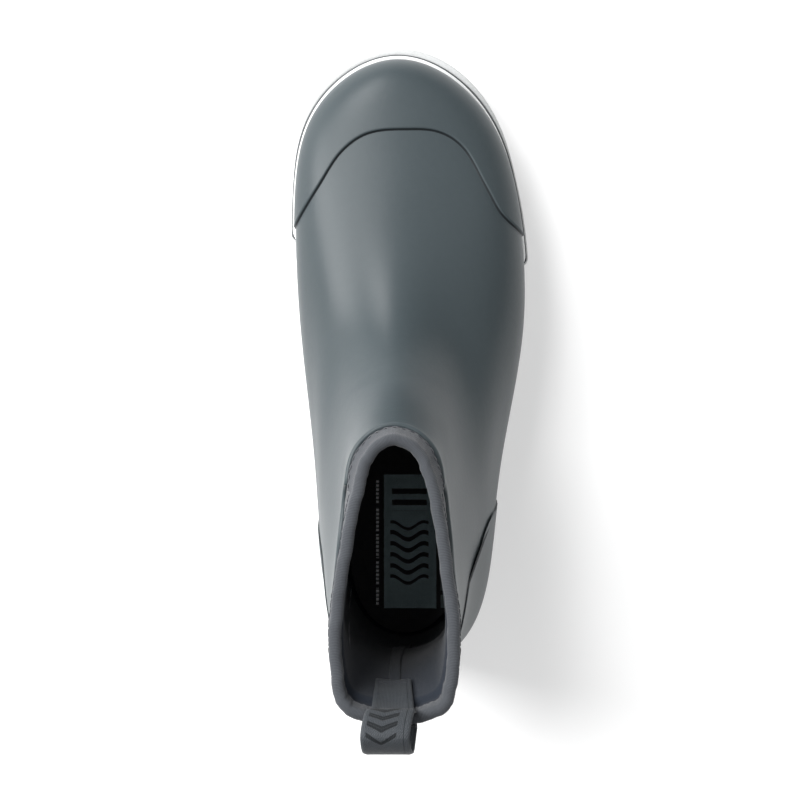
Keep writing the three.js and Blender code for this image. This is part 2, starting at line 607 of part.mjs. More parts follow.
// The removable footbed and its cloth cover are cut at the ball, where the footbed bends when its heel is lifted.
const FOOTBED_SPLIT = 38;
const FOOTBED_MARGIN = -(LINING_IN + 2.2);
const FOOTBED_TAPER = 1.6;
function footbedRing(pair, inset, cupLift) {
  return COLUMNS.map((u) => {
    const { y } = skin(u, 0);
    const behind = 1 - ballShare(y);
    const z = layer(pair, y);
    return wall(u, z, FOOTBED_MARGIN - sunk(skin(u, 1)) - inset - FOOTBED_TAPER * behind).setZ(z + cupLift * behind);
  });
}
const CUP_LIFT = 4.5;
const CUP_WIDTH = 7;
const footbedSheet = (base, top) =>
  toSolid(
    stack([
      footbedRing(base, CUP_WIDTH, 0),
      footbedRing(base, 0, CUP_LIFT),
      footbedRing(top, 0, CUP_LIFT),
      footbedRing(top, CUP_WIDTH, 0),
    ]),
  );
const half = (solid, low, high) => toGeometry(solid.intersect(toSolid(block([-90, low, -5], [90, high, 120]))));
const footbed = footbedSheet(FOOTBED_BASE, FOOTBED_TOP);
const cover = footbedSheet(COVER_BASE, COVER_TOP);
add("footbed_front", half(footbed, FOOTBED_SPLIT + GAP, 200), FOAM);
add("footbed_rear", half(footbed, -200, FOOTBED_SPLIT), FOAM);
add("footbed_cover_front", half(cover, FOOTBED_SPLIT + GAP, 200), BLACK_CLOTH);
add("footbed_cover_rear", half(cover, -200, FOOTBED_SPLIT), BLACK_CLOTH);

// ---- Pull tab ----------------------------------------------------------------------------------

// A webbing loop at the back of the collar. Its two legs are sewn down inside and outside the rim.
const tabColumns = [...between(tabEdges[1], ROUND), ...between(0, tabEdges[0])];
const overBinding = GAP + BINDING_THICK + GAP;
// A leg's rows, each [drop below the rim, depth of its near face off the skin]; it steps over the binding's edge.
const innerLeg = [[0.6, rimInner - overBinding], [BINDING_DROP + 0.9, rimInner - overBinding], [BINDING_DROP + 5, -LINING_IN - 2 * GAP], [27, -LINING_IN - GAP]];
const outerLeg = [[0.6, rimOuter + overBinding], [BINDING_DROP + 0.9, rimOuter + overBinding], [BINDING_DROP + 3.4, 2.2]];
function tabLeg(path, side) {
  return strip(
    tabColumns.map((u) => {
      const rim = skin(u, TOP).z;
      const at = (drop, out) => offset(u, rowAtHeight(u, rim - drop), out);
      return [...path.map(([drop, face]) => at(drop, face + side * TAB_THICK)), ...path.map(([drop, face]) => at(drop, face)).reverse()];
    }),
  );
}
add("pull_tab_inner_leg", tabLeg(innerLeg, -1), WEBBING);
add("pull_tab_outer_leg", tabLeg(outerLeg, 1), WEBBING);

// A ribbon of even thickness along a row of [y, z] points, closed into an outline.
function ribbon(points, thick) {
  const curve = new THREE.CatmullRomCurve3(points.map(([y, z]) => new THREE.Vector3(0, y, z)));
  const count = points.length * 3;
  const sides = [1, -1].map((side) =>
    Array.from({ length: count + 1 }, (_, k) => {
      const p = curve.getPointAt(k / count);
      const t = curve.getTangentAt(k / count);
      return [p.y + (side * thick * t.z) / 2, p.z - (side * thick * t.y) / 2];
    }),
  );
  return [...sides[0], ...sides[1].reverse()];
}
const rimBack = skin(0, TOP);
const tapeMiddle = rimBack.y - rimMiddle;
const legOut = rimHalf + overBinding + TAB_THICK / 2;
const LOOP_FOOT = rimBack.z + 3.6;
const loopPath = [
  [tapeMiddle + legOut, LOOP_FOOT],
  [tapeMiddle + legOut + 1.2, LOOP_FOOT + 6],
  [tapeMiddle + legOut - 1.6, LOOP_FOOT + 14],
  [tapeMiddle - 2.5, LOOP_FOOT + 18.5],
  [tapeMiddle - legOut - 4.6, LOOP_FOOT + 14.5],
  [tapeMiddle - legOut - 6, LOOP_FOOT + 7],
  [tapeMiddle - legOut, LOOP_FOOT],
];
// The loop leans over to the inner side.
const lean = new THREE.Matrix4().makeShear(0, 0, 0, 0, TAB_LEAN, 0);
const upright = sidePlate(ribbon(loopPath, TAB_THICK), TAB_WIDTH).translate(TAB_X, 0, -LOOP_FOOT);
add("pull_tab_loop", upright.applyMatrix4(lean).translate(0, 0, LOOP_FOOT), WEBBING);

// ---- Place the origin under the middle of the boot ---------------------------------------------

const bounds = new THREE.Box3().setFromObject(boot);
const middle = bounds.getCenter(new THREE.Vector3());
boot.children.forEach((mesh) => mesh.geometry.translate(-middle.x, -middle.y, 0));

export default boot;
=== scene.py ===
import math

import bpy
import numpy as np
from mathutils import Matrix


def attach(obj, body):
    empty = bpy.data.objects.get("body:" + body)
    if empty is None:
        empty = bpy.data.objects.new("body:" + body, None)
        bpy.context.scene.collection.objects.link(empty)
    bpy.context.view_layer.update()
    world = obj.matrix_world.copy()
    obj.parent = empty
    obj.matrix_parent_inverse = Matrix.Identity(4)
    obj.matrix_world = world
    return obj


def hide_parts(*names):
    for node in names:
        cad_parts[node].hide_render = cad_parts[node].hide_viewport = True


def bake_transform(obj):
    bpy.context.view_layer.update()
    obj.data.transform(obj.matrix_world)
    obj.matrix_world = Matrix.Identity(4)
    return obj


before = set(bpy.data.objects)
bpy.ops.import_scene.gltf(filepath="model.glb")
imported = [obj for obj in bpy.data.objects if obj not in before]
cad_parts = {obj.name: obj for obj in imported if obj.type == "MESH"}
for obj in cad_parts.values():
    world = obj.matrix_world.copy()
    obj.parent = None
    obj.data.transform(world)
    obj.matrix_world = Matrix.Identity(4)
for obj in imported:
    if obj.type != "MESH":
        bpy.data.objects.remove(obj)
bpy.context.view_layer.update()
bpy.ops.object.select_all(action="DESELECT")

# ---- Camera, floor and light ---------------------------------------------------------------------
# The boot stands on a white sweep, seen from straight above. A large soft light on the inner side of
# the foot gives the long highlight, one in front lights the toe, and a pale room fills the rest.

MM = 0.001
ORIGIN = np.array(
    [5.2105, 15.7035, 0.0]
)  # the girth lines' own zero, measured from the frame's, in millimetres
EYE_HEIGHT = 0.85

bpy.ops.object.camera_add(location=(-ORIGIN[0] * MM, -ORIGIN[1] * MM, EYE_HEIGHT), rotation=(0, 0, 0))
camera = bpy.context.object
camera.name = "camera"
camera.data.sensor_width = 36
camera.data.lens = 78.4
camera.data.dof.use_dof = False
bpy.context.scene.camera = camera


class Socket:
    """A shader socket that takes part in plain arithmetic."""

    def __init__(self, tree, socket):
        self.tree, self.socket = tree, socket

    def node(self, kind, settings=(), inputs=(), output=0):
        made = self.tree.nodes.new(kind)
        for key, value in dict(settings).items():
            if key == "stops":
                ramp = made.color_ramp
                while len(ramp.elements) < len(value):
                    ramp.elements.new(0.5)
                for element, (position, colour) in zip(ramp.elements, value):
                    element.position, element.color = position, colour
            else:
                setattr(made, key, value)
        for key, value in dict(inputs).items():
            if isinstance(value, Socket):
                self.tree.links.new(value.socket, made.inputs[key])
            else:
                made.inputs[key].default_value = value
        return Socket(self.tree, made.outputs[output])

    def maths(self, operation, *values):
        return self.node("ShaderNodeMath", {"operation": operation}, dict(enumerate(values)))

    def __add__(self, other):
        return self.maths("ADD", self, other)

    def __radd__(self, other):
        return self.maths("ADD", other, self)

    def __sub__(self, other):
        return self.maths("SUBTRACT", self, other)

    def __rsub__(self, other):
        return self.maths("SUBTRACT", other, self)

    def __mul__(self, other):
        return self.maths("MULTIPLY", self, other)

    def __rmul__(self, other):
        return self.maths("MULTIPLY", other, self)

    def __truediv__(self, other):
        return self.maths("DIVIDE", self, other)

    def inside(self, low, high, soft):
        """1 between low and high, fading to 0 over soft at both edges."""
        rise = self.node(
            "ShaderNodeMapRange",
            {"interpolation_type": "SMOOTHSTEP"},
            {0: self, 1: low - soft, 2: low + soft},
        )
        fall = self.node(
            "ShaderNodeMapRange",
            {"interpolation_type": "SMOOTHSTEP"},
            {0: self, 1: high - soft, 2: high + soft},
        )
        return rise * (1 - fall)

    def colours(self, low, high):
        """From one colour to another as this goes from 0 to 1."""
        return self.node(
            "ShaderNodeMix", {"data_type": "RGBA"}, {0: self, 6: (*low, 1), 7: (*high, 1)}, output=2
        )

    def tint(self, below, colour):
        """A colour laid over another where this is 1."""
        return self.node(
            "ShaderNodeMix", {"data_type": "RGBA"}, {0: self, 6: below, 7: (*colour, 1)}, output=2
        )


def finish(name, roughness, **shader):
    """A new Principled material, its tree as a Socket to build from, and its shader node."""
    made = bpy.data.materials.new(name)
    made.use_nodes = True
    bsdf = made.node_tree.nodes["Principled BSDF"]
    bsdf.inputs["Roughness"].default_value = roughness
    for key, value in shader.items():
        bsdf.inputs[key.replace("_", " ")].default_value = value
    place = Socket(made.node_tree, made.node_tree.nodes.new("ShaderNodeTexCoord").outputs["Object"])
    return made, place, bsdf


def feed(place, bsdf, **sockets):
    for key, value in sockets.items():
        place.tree.links.new(value.socket, bsdf.inputs[key.replace("_", " ")])


def noise(place, size_mm, detail=3.0, rough=0.5):
    return place.node(
        "ShaderNodeTexNoise",
        {},
        {"Vector": place, "Scale": 1000 / size_mm, "Detail": detail, "Roughness": rough},
    )


def bump(height, depth_mm, below=None):
    inputs = {"Height": height, "Distance": depth_mm * MM, "Strength": 1.0}
    if below is not None:
        inputs["Normal"] = below
    return height.node("ShaderNodeBump", {}, inputs)


bpy.ops.mesh.primitive_plane_add(size=6)
floor = bpy.context.object
floor.name = "floor"
white_sweep, place, bsdf = finish("white_sweep", 0.9, Specular_IOR_Level=0.0)
bsdf.inputs["Base Color"].default_value = (0.7, 0.7, 0.7, 1)
bsdf.inputs["Emission Color"].default_value = (1, 1, 1, 1)
bsdf.inputs["Emission Strength"].default_value = 0.3
floor.data.materials.append(white_sweep)

world = bpy.data.worlds.new("white_room")
bpy.context.scene.world = world
world.use_nodes = True
backdrop = world.node_tree.nodes["Background"]
backdrop.inputs["Strength"].default_value = 0.66
facing = Socket(world.node_tree, world.node_tree.nodes.new("ShaderNodeTexCoord").outputs["Generated"])
inner_side = facing.node("ShaderNodeSeparateXYZ", {}, {0: facing}) * -0.5 + 0.5
overhead = facing.node("ShaderNodeSeparateXYZ", {}, {0: facing}, output=2).inside(0.45, 2.0, 0.45)
walls = inner_side.colours((0.02, 0.024, 0.028), (0.3, 0.31, 0.32))
room = overhead.node(
    "ShaderNodeMix", {"data_type": "RGBA"}, {0: overhead, 6: walls, 7: (1.2, 1.2, 1.2, 1)}, output=2
)
world.node_tree.links.new(room.socket, backdrop.inputs["Color"])
bpy.context.scene.view_settings.view_transform = "Standard"


def soft_light(name, at, towards, size, power):
    bpy.ops.object.light_add(type="AREA", location=at)
    light = bpy.context.object
    light.name = name
    light.data.shape = "RECTANGLE"
    light.data.size, light.data.size_y = size
    light.data.energy = power
    direction = np.array(towards) - np.array(at)
    light.rotation_euler = (
        math.atan2(math.hypot(direction[0], direction[1]), -direction[2]),
        0,
        math.atan2(direction[1], direction[0]) - math.pi / 2,
    )


soft_light("side_softbox", (-1.25, 0.5, 0.9), (0, 0.05, 0.05), (0.6, 1.3), 29)
soft_light("front_softbox", (-0.75, 1.35, 1.3), (0, 0.12, 0.05), (0.5, 0.5), 11)
soft_light("top_softbox", (-0.75, 0.35, 1.95), (0, 0, 0), (0.55, 0.55), 16)
soft_light("toe_softbox", (-0.7, 1.3, 0.8), (0, 0.1, 0.05), (0.7, 0.4), 7)

# ---- Rubber shell --------------------------------------------------------------------------------
# One moulded wall of slate rubber from the sole to the edge under the collar, with a U-shaped notch in
# each side. It is dipped round a last, so its surface is one smooth skin over these girth lines.

STATIONS = [0, 0.035, 0.14, 0.33, 0.55, 0.76, 0.92, 1]
FOOT_CENTRE = [2.6, 2.6, 2.8, 3.7, 5.5, 3.1, -0.2, -0.8]
SHAFT_CENTRE = -2.1
GIRTHS = [  # back (y, z), front (y, z), half-widths, share of the shaft's centre line, bend upwards
    ((-115.5, 8.4), (154, 17.8), (21.5, 34.2, 38.6, 48, 48.6, 34.8), 0, 5),
    ((-118, 26), (156.5, 33), (22.6, 35.6, 40.8, 50.2, 50.2, 36.6), 0, 4),
    ((-120.8, 43), (157, 45), (23.8, 37.2, 43, 51.4, 50.9, 37.3), 0, 1),
    ((-120.6, 59), (147.5, 56), (23.4, 35.9, 41, 46, 43.8, 30.2), 0.12, 1),
    ((-118.4, 74), (120, 63), (22.2, 33.4, 38, 39.4, 34.6, 21.5), 0.35, 1),
    ((-115.8, 90), (66, 75), (20.8, 30.6, 34.2, 33.2, 27.4, 16.8), 0.65, 1),
    ((-114.2, 108), (27, 94), (19, 28.2, 31, 28.6, 23.6, 14.9), 0.85, 1),
    ((-114.6, 128), (6, 117), (17, 26, 28.2, 24.8, 21.4, 14.8), 0.95, 1),
    ((-118, 150), (-4, 141), (17, 24.4, 26, 22.6, 20.6, 15.4), 1, 1),
    ((-125, 181), (-12, 171), (18.6, 24.6, 25.6, 22.7, 20.2, 16), 1, 1),
]
TOP = len(GIRTHS) - 1
FIT_PASSES = 40


def spline_net(points, closed):
    """Control points, along the first axis, of the cubic spline that passes through the points."""
    net = points.copy()
    for _ in range(FIT_PASSES):
        before, after = np.roll(net, 1, 0), np.roll(net, -1, 0)
        if not closed:
            before[0], after[-1] = 2 * net[0] - net[1], 2 * net[-1] - net[-2]
        net = net + points - (before + after + 4 * net) / 6
    if closed:
        return net
    return np.concatenate([2 * net[:1] - net[1:2], net, 2 * net[-1:] - net[-2:-1]])


def girth_row(back, front, half, shaft, rise):
    s = np.array(STATIONS)
    width = np.array([0, *half, 0])
    centre = np.array(FOOT_CENTRE) * (1 - shaft) + SHAFT_CENTRE * shaft
    y = back[0] + (front[0] - back[0]) * s
    z = back[1] + (front[1] - back[1]) * s**rise
    outer = np.stack([centre + width, y, z], 1)
    inner = np.stack([centre - width, y, z], 1)[1:-1][::-1]
    return np.concatenate([outer, inner])


rows = np.stack([spline_net(girth_row(*girth), True) for girth in GIRTHS], 1)
ROUND = len(rows)
skin_net = spline_net(rows.swapaxes(0, 1), False).swapaxes(0, 1)


def weights(t):
    return [(1 - t) ** 3 / 6, (3 * t**3 - 6 * t**2 + 4) / 6, (1 + 3 * t + 3 * t**2 - 3 * t**3) / 6, t**3 / 6]


def skin(u, v):
    """Points of the skin at u round the boot, 0 at the heel, and v up it, 0 to TOP."""
    u, v = np.broadcast_arrays(np.asarray(u, float), np.asarray(v, float))
    i = np.floor(u).astype(int)
    j = np.clip(np.floor(v), 0, TOP - 1).astype(int)
    across, up = weights(u - i), weights(v - j)
    return sum(
        skin_net[
            (i + a - 1) % ROUND, j + b
        ] * (across[a] * up[b])[..., None] for a in range(4) for b in range(4)
    )


def outward(u, v):
    v = np.asarray(v, float)
    along = skin(u + 0.02, v) - skin(u - 0.02, v)
    rising = skin(u, np.minimum(TOP, v + 0.02)) - skin(u, np.maximum(0, v - 0.02))
    normal = np.cross(along, rising)
    return normal / np.linalg.norm(normal, axis=-1, keepdims=True)


def off_skin(u, v, out):
    u, v, out = np.broadcast_arrays(u, v, out)
    return skin(u, v) + outward(u, v) * out[..., None]


def crossing(low, high, value):
    """Where a rising function of an array reaches zero between low and high."""
    low, high = low.copy(), high.copy()
    for _ in range(26):
        middle = (low + high) / 2
        over = value(middle) > 0
        high = np.where(over, middle, high)
        low = np.where(over, low, middle)
    return (low + high) / 2


def row_at(u, z):
    u, z = np.broadcast_arrays(np.asarray(u, float), np.asarray(z, float))
    return crossing(np.zeros(u.shape), np.full(u.shape, float(TOP)), lambda v: skin(u, v)[..., 2] - z)


def wall(u, z, out):
    """The skin's plan at height z, moved out level."""
    v = row_at(u, z)
    level = outward(u, v)
    level[..., 2] = 0
    level /= np.linalg.norm(level, axis=-1, keepdims=True)
    point = skin(u, v) + level * np.broadcast_to(out, v.shape)[..., None]
    point[..., 2] = z
    return point


def smooth(x):
    x = np.clip(x, 0, 1)
    return x * x * (3 - 2 * x)


def even_columns(count, level, start=0.0, end=float(ROUND)):
    """Values of u evenly spaced along the skin's girth at one row, so that faces are even too."""
    fine = np.linspace(start, end, 1600)
    length = np.concatenate([[0], np.cumsum(np.linalg.norm(np.diff(skin(fine, level), axis=0), axis=1))])
    closed = end - start >= ROUND
    return np.interp(np.linspace(0, length[-1], count + 1 if closed else count)[: count], length, fine)


def column_at(side, y):
    """u where the skin crosses y, on the outer side (1) or the inner side (-1)."""
    half = ROUND / 2
    low, high = (0.0, half) if side > 0 else (half, float(ROUND))
    return float(crossing(np.array(low), np.array(high), lambda u: (skin(u, 2.0)[..., 1] - y) * side))


def add_mesh(name, points, faces, uv, material):
    """A closed mesh at the origin, faces outwards. Points are in millimetres from the girth lines' zero,
    and each face has a list of its corners' places on the surface, also in millimetres."""
    points = np.asarray(points, float).reshape(-1, 3)
    faces, uv = np.asarray(faces), np.asarray(uv, float)
    a, b, c = (points[faces[:, k]] for k in (0, 1, 2))
    volume = np.einsum("ij,ij->i", a, np.cross(b, c)).sum()
    if faces.shape[1] == 4:
        volume += np.einsum("ij,ij->i", a, np.cross(c, points[faces[:, 3]])).sum()
    if volume < 0:
        faces, uv = faces[:, ::-1], uv[:, ::-1]
    mesh = bpy.data.meshes.new(name)
    mesh.from_pydata(((points - ORIGIN) * MM).tolist(), [], faces.tolist())
    mesh.uv_layers.new(name="surface").data.foreach_set("uv", (uv / UV_SPAN).ravel())
    mesh.materials.append(material)
    mesh.shade_smooth()
    piece = bpy.data.objects.new(name, mesh)
    bpy.context.collection.objects.link(piece)
    return piece


UV_SPAN = 100  # millimetres in one unit of a surface map


def loft(name, sections, closed, material, capped=True):
    """Sections, each a closed loop of points, joined in order; closed joins the last to the first."""
    count, n = sections.shape[:2]
    steps = np.linalg.norm(np.roll(sections, -1, 0) - sections, axis=2).mean(1)
    along = np.concatenate([[0], np.cumsum(steps)])
    steps = np.linalg.norm(np.roll(sections, -1, 1) - sections, axis=2).mean(0)
    across = np.concatenate([[0], np.cumsum(steps)])
    k, i = np.meshgrid(np.arange(count if closed else count - 1), np.arange(n), indexing="ij")
    k, i = k.ravel(), i.ravel()
    corners = [(k, i), (k, i + 1), (k + 1, i + 1), (k + 1, i)]
    faces = np.stack([(a % count) * n + b % n for a, b in corners], 1)
    uv = np.stack([np.stack([along[a], across[b]], 1) for a, b in corners], 1)
    if not closed and capped:
        j = np.arange(n // 2 - 1)
        end = (count - 1) * n
        caps = [
            np.stack([n - 1 - j, n - 2 - j, j + 1, j], 1),
            np.stack([end + j, end + j + 1, end + n - 2 - j, end + n - 1 - j], 1),
        ]
        for cap in caps:
            faces = np.concatenate([faces, cap])
            uv = np.concatenate([uv, np.stack([along[cap // n], across[cap % n]], -1)])
    return add_mesh(name, sections, faces, uv, material)


SHELL_THICK = 2.4
COLLAR_DEPTH = 13
NOTCH_DEPTH, NOTCH_HALF, NOTCH_MIDDLE = 27, 20, -57


def shell_top_height(u):
    rim = skin(u, float(TOP))
    across = np.clip(np.abs(rim[..., 1] - NOTCH_MIDDLE) / NOTCH_HALF, 0, 1)
    notch = (1 - across**3.2) ** 0.75
    lip = smooth((NOTCH_HALF * 1.18 - np.abs(rim[..., 1] - NOTCH_MIDDLE)) / 5)
    return rim[..., 2] - COLLAR_DEPTH - NOTCH_DEPTH * notch - 0.6 * lip


def crease(p):
    """The mould's faint step over the instep."""
    arch = p[..., 1] - (11.5 - ((p[..., 0] - 1) / 17.0) ** 2 * 4.6)
    reach = smooth((30 - np.abs(p[..., 0])) / 18) * smooth((p[..., 2] - 60) / 20)
    return 0.28 * smooth((arch + 1.6) / 3.2) * reach * smooth((40 - p[..., 1]) / 26)


slate_rubber, place, bsdf = finish("slate_rubber", 0.36, Specular_IOR_Level=0.3)
cloud = noise(place, 55, 2)
grain = noise(place, 0.55, 2)
pores = noise(place, 3.2, 4, 0.6)
feed(
    place,
    bsdf,
    Base_Color=(cloud * 0.6 + pores * 0.4).colours((0.033, 0.044, 0.049), (0.047, 0.06, 0.066)),
    Roughness=0.31 + 0.1 * cloud + 0.07 * grain,
    Normal=bump(grain, 0.012, bump(pores, 0.05)),
)


def shell_sections(u, bottom, top, depth, lip, count):
    """Outer wall from bottom row to top row, a rounded edge, and the inner wall back down."""
    share = np.linspace(0, 1, count) ** 0.9
    up = bottom[:, None] + (top - bottom)[:, None] * share
    p = skin(u[:, None], up)
    outer = p + outward(u[:, None], up) * crease(p)[..., None]
    inner = off_skin(u[:, None], up[:, ::-1], -depth)
    normal, rising = outward(u, top), skin(u, top) - skin(u, top - 0.05)
    rising /= np.linalg.norm(rising, axis=-1, keepdims=True)
    angle = np.linspace(0, math.pi, lip + 2)[1:-1]
    middle = skin(u, top) - normal * depth / 2
    edge = (
        middle[:, None]
        + normal[:, None] * (np.cos(angle) * depth / 2)[None, :, None]
        + rising[:, None] * (np.sin(angle) * depth / 2)[None, :, None]
    )
    return np.concatenate([outer, edge, inner], 1)


u = even_columns(260, 5.0)
shell = loft(
    "shell", shell_sections(
        u, np.full(u.shape, 0.35), row_at(u, shell_top_height(u)), SHELL_THICK, 5, 90
    ), True, slate_rubber
)
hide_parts("rubber_shell")
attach(shell, "boot")

# ---- Toe cap and heel counter cover ---------------------------------------------------------------
# Second layers of the same rubber, laid over the shell before it is cured. Each has a rounded edge, and where
# it meets the shell a thin dark line of painted shade stands in for the shadow of the gap.

OVERLAY = 1.2
OVERLAY_LIP, OVERLAY_EDGE = 1.1, 0.45  # width of the rounded edge, and how far out it ends
TUCK = 13.5  # height above the ground where the overlays are tucked into the sole
CAP_LINE = np.array(
    [
        (-62, 56), (-50, 77), (-37, 97), (-27, 112), (-15, 120.5), (3, 122.5), (18.5, 121.2),
        (29.5, 113.5), (39.5, 96), (46, 85), (58, 75), (70, 62),
    ]
)
COUNTER_OUTER = np.array(
    [
        (-126, 129), (-110, 127.5), (-93, 120), (-82, 110.5), (-74, 100), (-66.5, 88), (-59.5, 75),
        (-52.5, 59), (-46.8, 43), (-44.3, 26), (-43.2, 10),
    ]
)
COUNTER_INNER = np.array(
    [
        (-126, 129), (-113, 125), (-100, 114), (-90, 101.5), (-79.7, 85), (-70.5, 66), (-64, 55),
        (-58, 46), (-53.3, 36), (-51.5, 26), (-50.5, 10),
    ]
)
BUMPER_END = {1: 64, -1: 76}


def ground(y):
    toe = np.clip((y - 50) / 110, 0, 1)
    heel = np.clip((-108 - y) / 16, 0, 1)
    return 10.5 * toe**2 + 1.5 * heel**2


def through(points, x):
    """The smooth curve through the points, read at x."""
    px, py = points[:, 0], points[:, 1]
    slope = np.gradient(py, px)
    slope[1:-1] = (py[2:] - py[:-2]) / (px[2:] - px[:-2])
    i = np.clip(np.searchsorted(px, x) - 1, 0, len(px) - 2)
    width = px[i + 1] - px[i]
    t = np.clip((x - px[i]) / width, 0, 1)
    return (
        py[i] * (1 + 2 * t) * (1 - t) ** 2
        + py[i + 1] * t * t * (3 - 2 * t)
        + width * (slope[i] * t * (1 - t) ** 2 - slope[i + 1] * t * t * (1 - t))
    )


overlay_rubber = slate_rubber.copy()
overlay_rubber.name = "overlay_rubber"
bsdf = overlay_rubber.node_tree.nodes["Principled BSDF"]
place = Socket(overlay_rubber.node_tree, bsdf.inputs["Base Color"].links[0].from_socket)
# Painted shade: the colour is darkened along the seam where the layer meets the shell, for the gap's shadow.
flash = place.node("ShaderNodeAttribute", {"attribute_name": "flash"}, output=2)
feed(place, bsdf, Base_Color=flash.tint(place, (0.008, 0.011, 0.013)))


def overlay(name, u, low, high, thinning, thick=OVERLAY, line=0.6, count=46):
    """A layer over the skin from row low to row high of each column, with a rounded upper edge."""
    step = 0.02
    rise = np.linalg.norm(skin(u, high) - skin(u, high - step), axis=-1) / step
    share = 1 - np.linspace(1, 0, count) ** 1.25
    last = high - OVERLAY_LIP / rise
    up = low[:, None] + (last - low)[:, None] * share
    low_z, at = skin(u, low)[..., 2][:, None], skin(u[:, None], up)[..., 2]
    body = off_skin(u[:, None], up, thick - thinning * (1 - smooth((at - low_z - 14) / 22)))
    angle = np.linspace(0, math.pi / 2, 7)[1:]
    lip_row = last[:, None] + OVERLAY_LIP * np.sin(angle) / rise[:, None]
    lip = off_skin(u[:, None], lip_row, OVERLAY_EDGE + (thick - OVERLAY_EDGE) * np.cos(angle))
    foot_row = high[:, None] + np.array([0.02, line, line + 0.06]) / rise[:, None]
    foot = off_skin(u[:, None], np.minimum(foot_row, TOP), np.array([0.1, 0.1, -0.12]))
    under = off_skin(
        u[:, None],
        np.linspace(1, 0, body.shape[1] + 9)[None, :] * (high - low)[:, None] + low[:, None],
        -0.15,
    )
    sections = np.concatenate([body, lip, foot, under], 1)
    piece = loft(name, sections, False, overlay_rubber)
    # Marks the painted shade on the end of the rounded edge and on the foot that tucks into the shell.
    mark = np.zeros(sections.shape[:2])
    start = body.shape[1]
    mark[:, start + 4 : start + 9] = [0.35, 1, 1, 1, 1]
    piece.data.attributes.new("flash", "FLOAT", "POINT").data.foreach_set("value", mark.ravel())
    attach(piece, "boot")
    return piece


def tucked(u):
    return row_at(u, ground(skin(u, 0.0)[..., 1]) + TUCK)


u = even_columns(220, 2.0, column_at(1, BUMPER_END[1] + 1), column_at(-1, BUMPER_END[-1] + 1))
low = tucked(u)
high = crossing(
    low + 0.2,
    np.full(u.shape, TOP - 3.0),
    lambda v: through(CAP_LINE, skin(u, v)[..., 0]) - skin(u, v)[..., 1],
)
toe_cap = overlay("toe_cap_layer", u, low, high, OVERLAY - 0.25)
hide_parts("toe_cap")

u = even_columns(240, 3.0, column_at(-1, -50.6), ROUND + column_at(1, -43.6))
low = tucked(u)


def above_counter(v):
    p = skin(u, v)
    line = np.where(
        (u % ROUND) < ROUND / 2, through(COUNTER_OUTER, p[..., 1]), through(COUNTER_INNER, p[..., 1])
    )
    return p[..., 2] - line


high = crossing(low + 0.15, np.full(u.shape, TOP - 1.0), above_counter)
counter = overlay("heel_counter_layer", u, low, high, 0.1, 0.8, 0.35)
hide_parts("heel_counter_cover")

# ---- Outsole and toe bumper -----------------------------------------------------------------------
# A white non-marking rubber cup, cemented round the shell. It flares round the toe, where a second band
# stands on it behind a groove, and a dark strip in the groove is painted shade for the groove's shadow. Wavy
# blades of tread cross the forefoot and the heel.

white_rubber, place, bsdf = finish("white_rubber", 0.5, Specular_IOR_Level=0.4)
fleck = noise(place, 0.9, 2)
smudge = noise(place, 22, 3)
pebble = place.node("ShaderNodeTexVoronoi", {}, {"Vector": place, "Scale": 900})
scuff = smudge.node("ShaderNodeMapRange", {}, {0: smudge, 1: 0.58, 2: 0.8, 3: 0.0, 4: 0.5})
low_dirt = place.node("ShaderNodeSeparateXYZ", {}, {0: place}, output=2)
low_dirt = low_dirt.node("ShaderNodeMapRange", {}, {0: low_dirt, 1: 0.0, 2: 0.004, 3: 0.35, 4: 0.0})
feed(
    place,
    bsdf,
    Base_Color=low_dirt.tint(
        scuff.tint(fleck.colours((0.43, 0.44, 0.44), (0.57, 0.58, 0.58)), (0.42, 0.42, 0.41)),
        (0.55, 0.55, 0.53),
    ),
    Roughness=0.42 + 0.2 * smudge,
    Normal=bump(pebble, 0.06, bump(fleck, 0.02)),
)


def bumper_share(u):
    y = skin(u, 2.0)[..., 1]
    end = np.where((u % ROUND) < ROUND / 2, BUMPER_END[1], BUMPER_END[-1])
    return smooth((y - end + 2.2) / 4.4)


def wall_height(y):
    """The sole's wall is lower in front of the heel."""
    return 21 - 2 * smooth((y + 40) / 60)


def toe_share(y):
    return smooth((y - 95) / 50)


def flare(u, share):
    y = skin(u, 1.0)[..., 1]
    side = np.where((u % ROUND) < ROUND / 2, 6.2, 5.6)
    toe = side + (10.6 - side) * smooth((y - 100) / 55)
    return 2.5 + (toe - 2.5) * share


u = even_columns(320, 1.0)
y = skin(u, 1.0)[..., 1]
lift = ground(skin(u, 0.0)[..., 1])
top_flare = flare(u, bumper_share(u))
foot_flare = flare(u, smooth((skin(u, 2.0)[..., 1] - 30) / 55))
inner = np.maximum(OVERLAY * smooth((-y - 24) / 8), 0.3 * bumper_share(u)) + 0.35
height = wall_height(y)
seat = inner + (3.9 + 1.5 * toe_share(y)) * bumper_share(u)
bulge = [  # height above the ground, how far out, from the tread's edge up to the wall's top
    (2.6, foot_flare - 8.2),
    (0.2, foot_flare - 7.6),
    (0.0, foot_flare - 7.2),
    (0.0, foot_flare - 2.0),
    (0.25, foot_flare - 1.2),
    (0.9, foot_flare - 0.7),
    (2.2, foot_flare - 0.45),
    (6.6, foot_flare - 0.05),
    (7.2, foot_flare - 0.15),
    (7.5, foot_flare - 0.75),
    (8.0, foot_flare - 0.8),
    (8.3, (foot_flare + top_flare) / 2 - 0.15),
    (9.4, top_flare + 0.05),
    (12.5, top_flare + 0.1),
    (height - 3.2, top_flare),
    (height - 1.6, top_flare - 0.1),
    (height - 0.6, top_flare - 0.35),
    (height - 0.1, np.maximum(top_flare - 0.9, seat + 0.5)),
    (height, np.maximum(top_flare - 1.5, seat + 0.25)),
    (height - 0.3, seat + 0.1),
    (12.3, seat),
    (11.5, inner),
    (6.0, inner),
    (6.0, inner - 8),
]
rings = np.stack([wall(u, lift + h, out) for h, out in bulge])
cup = loft("outsole_cup", rings, False, white_rubber)

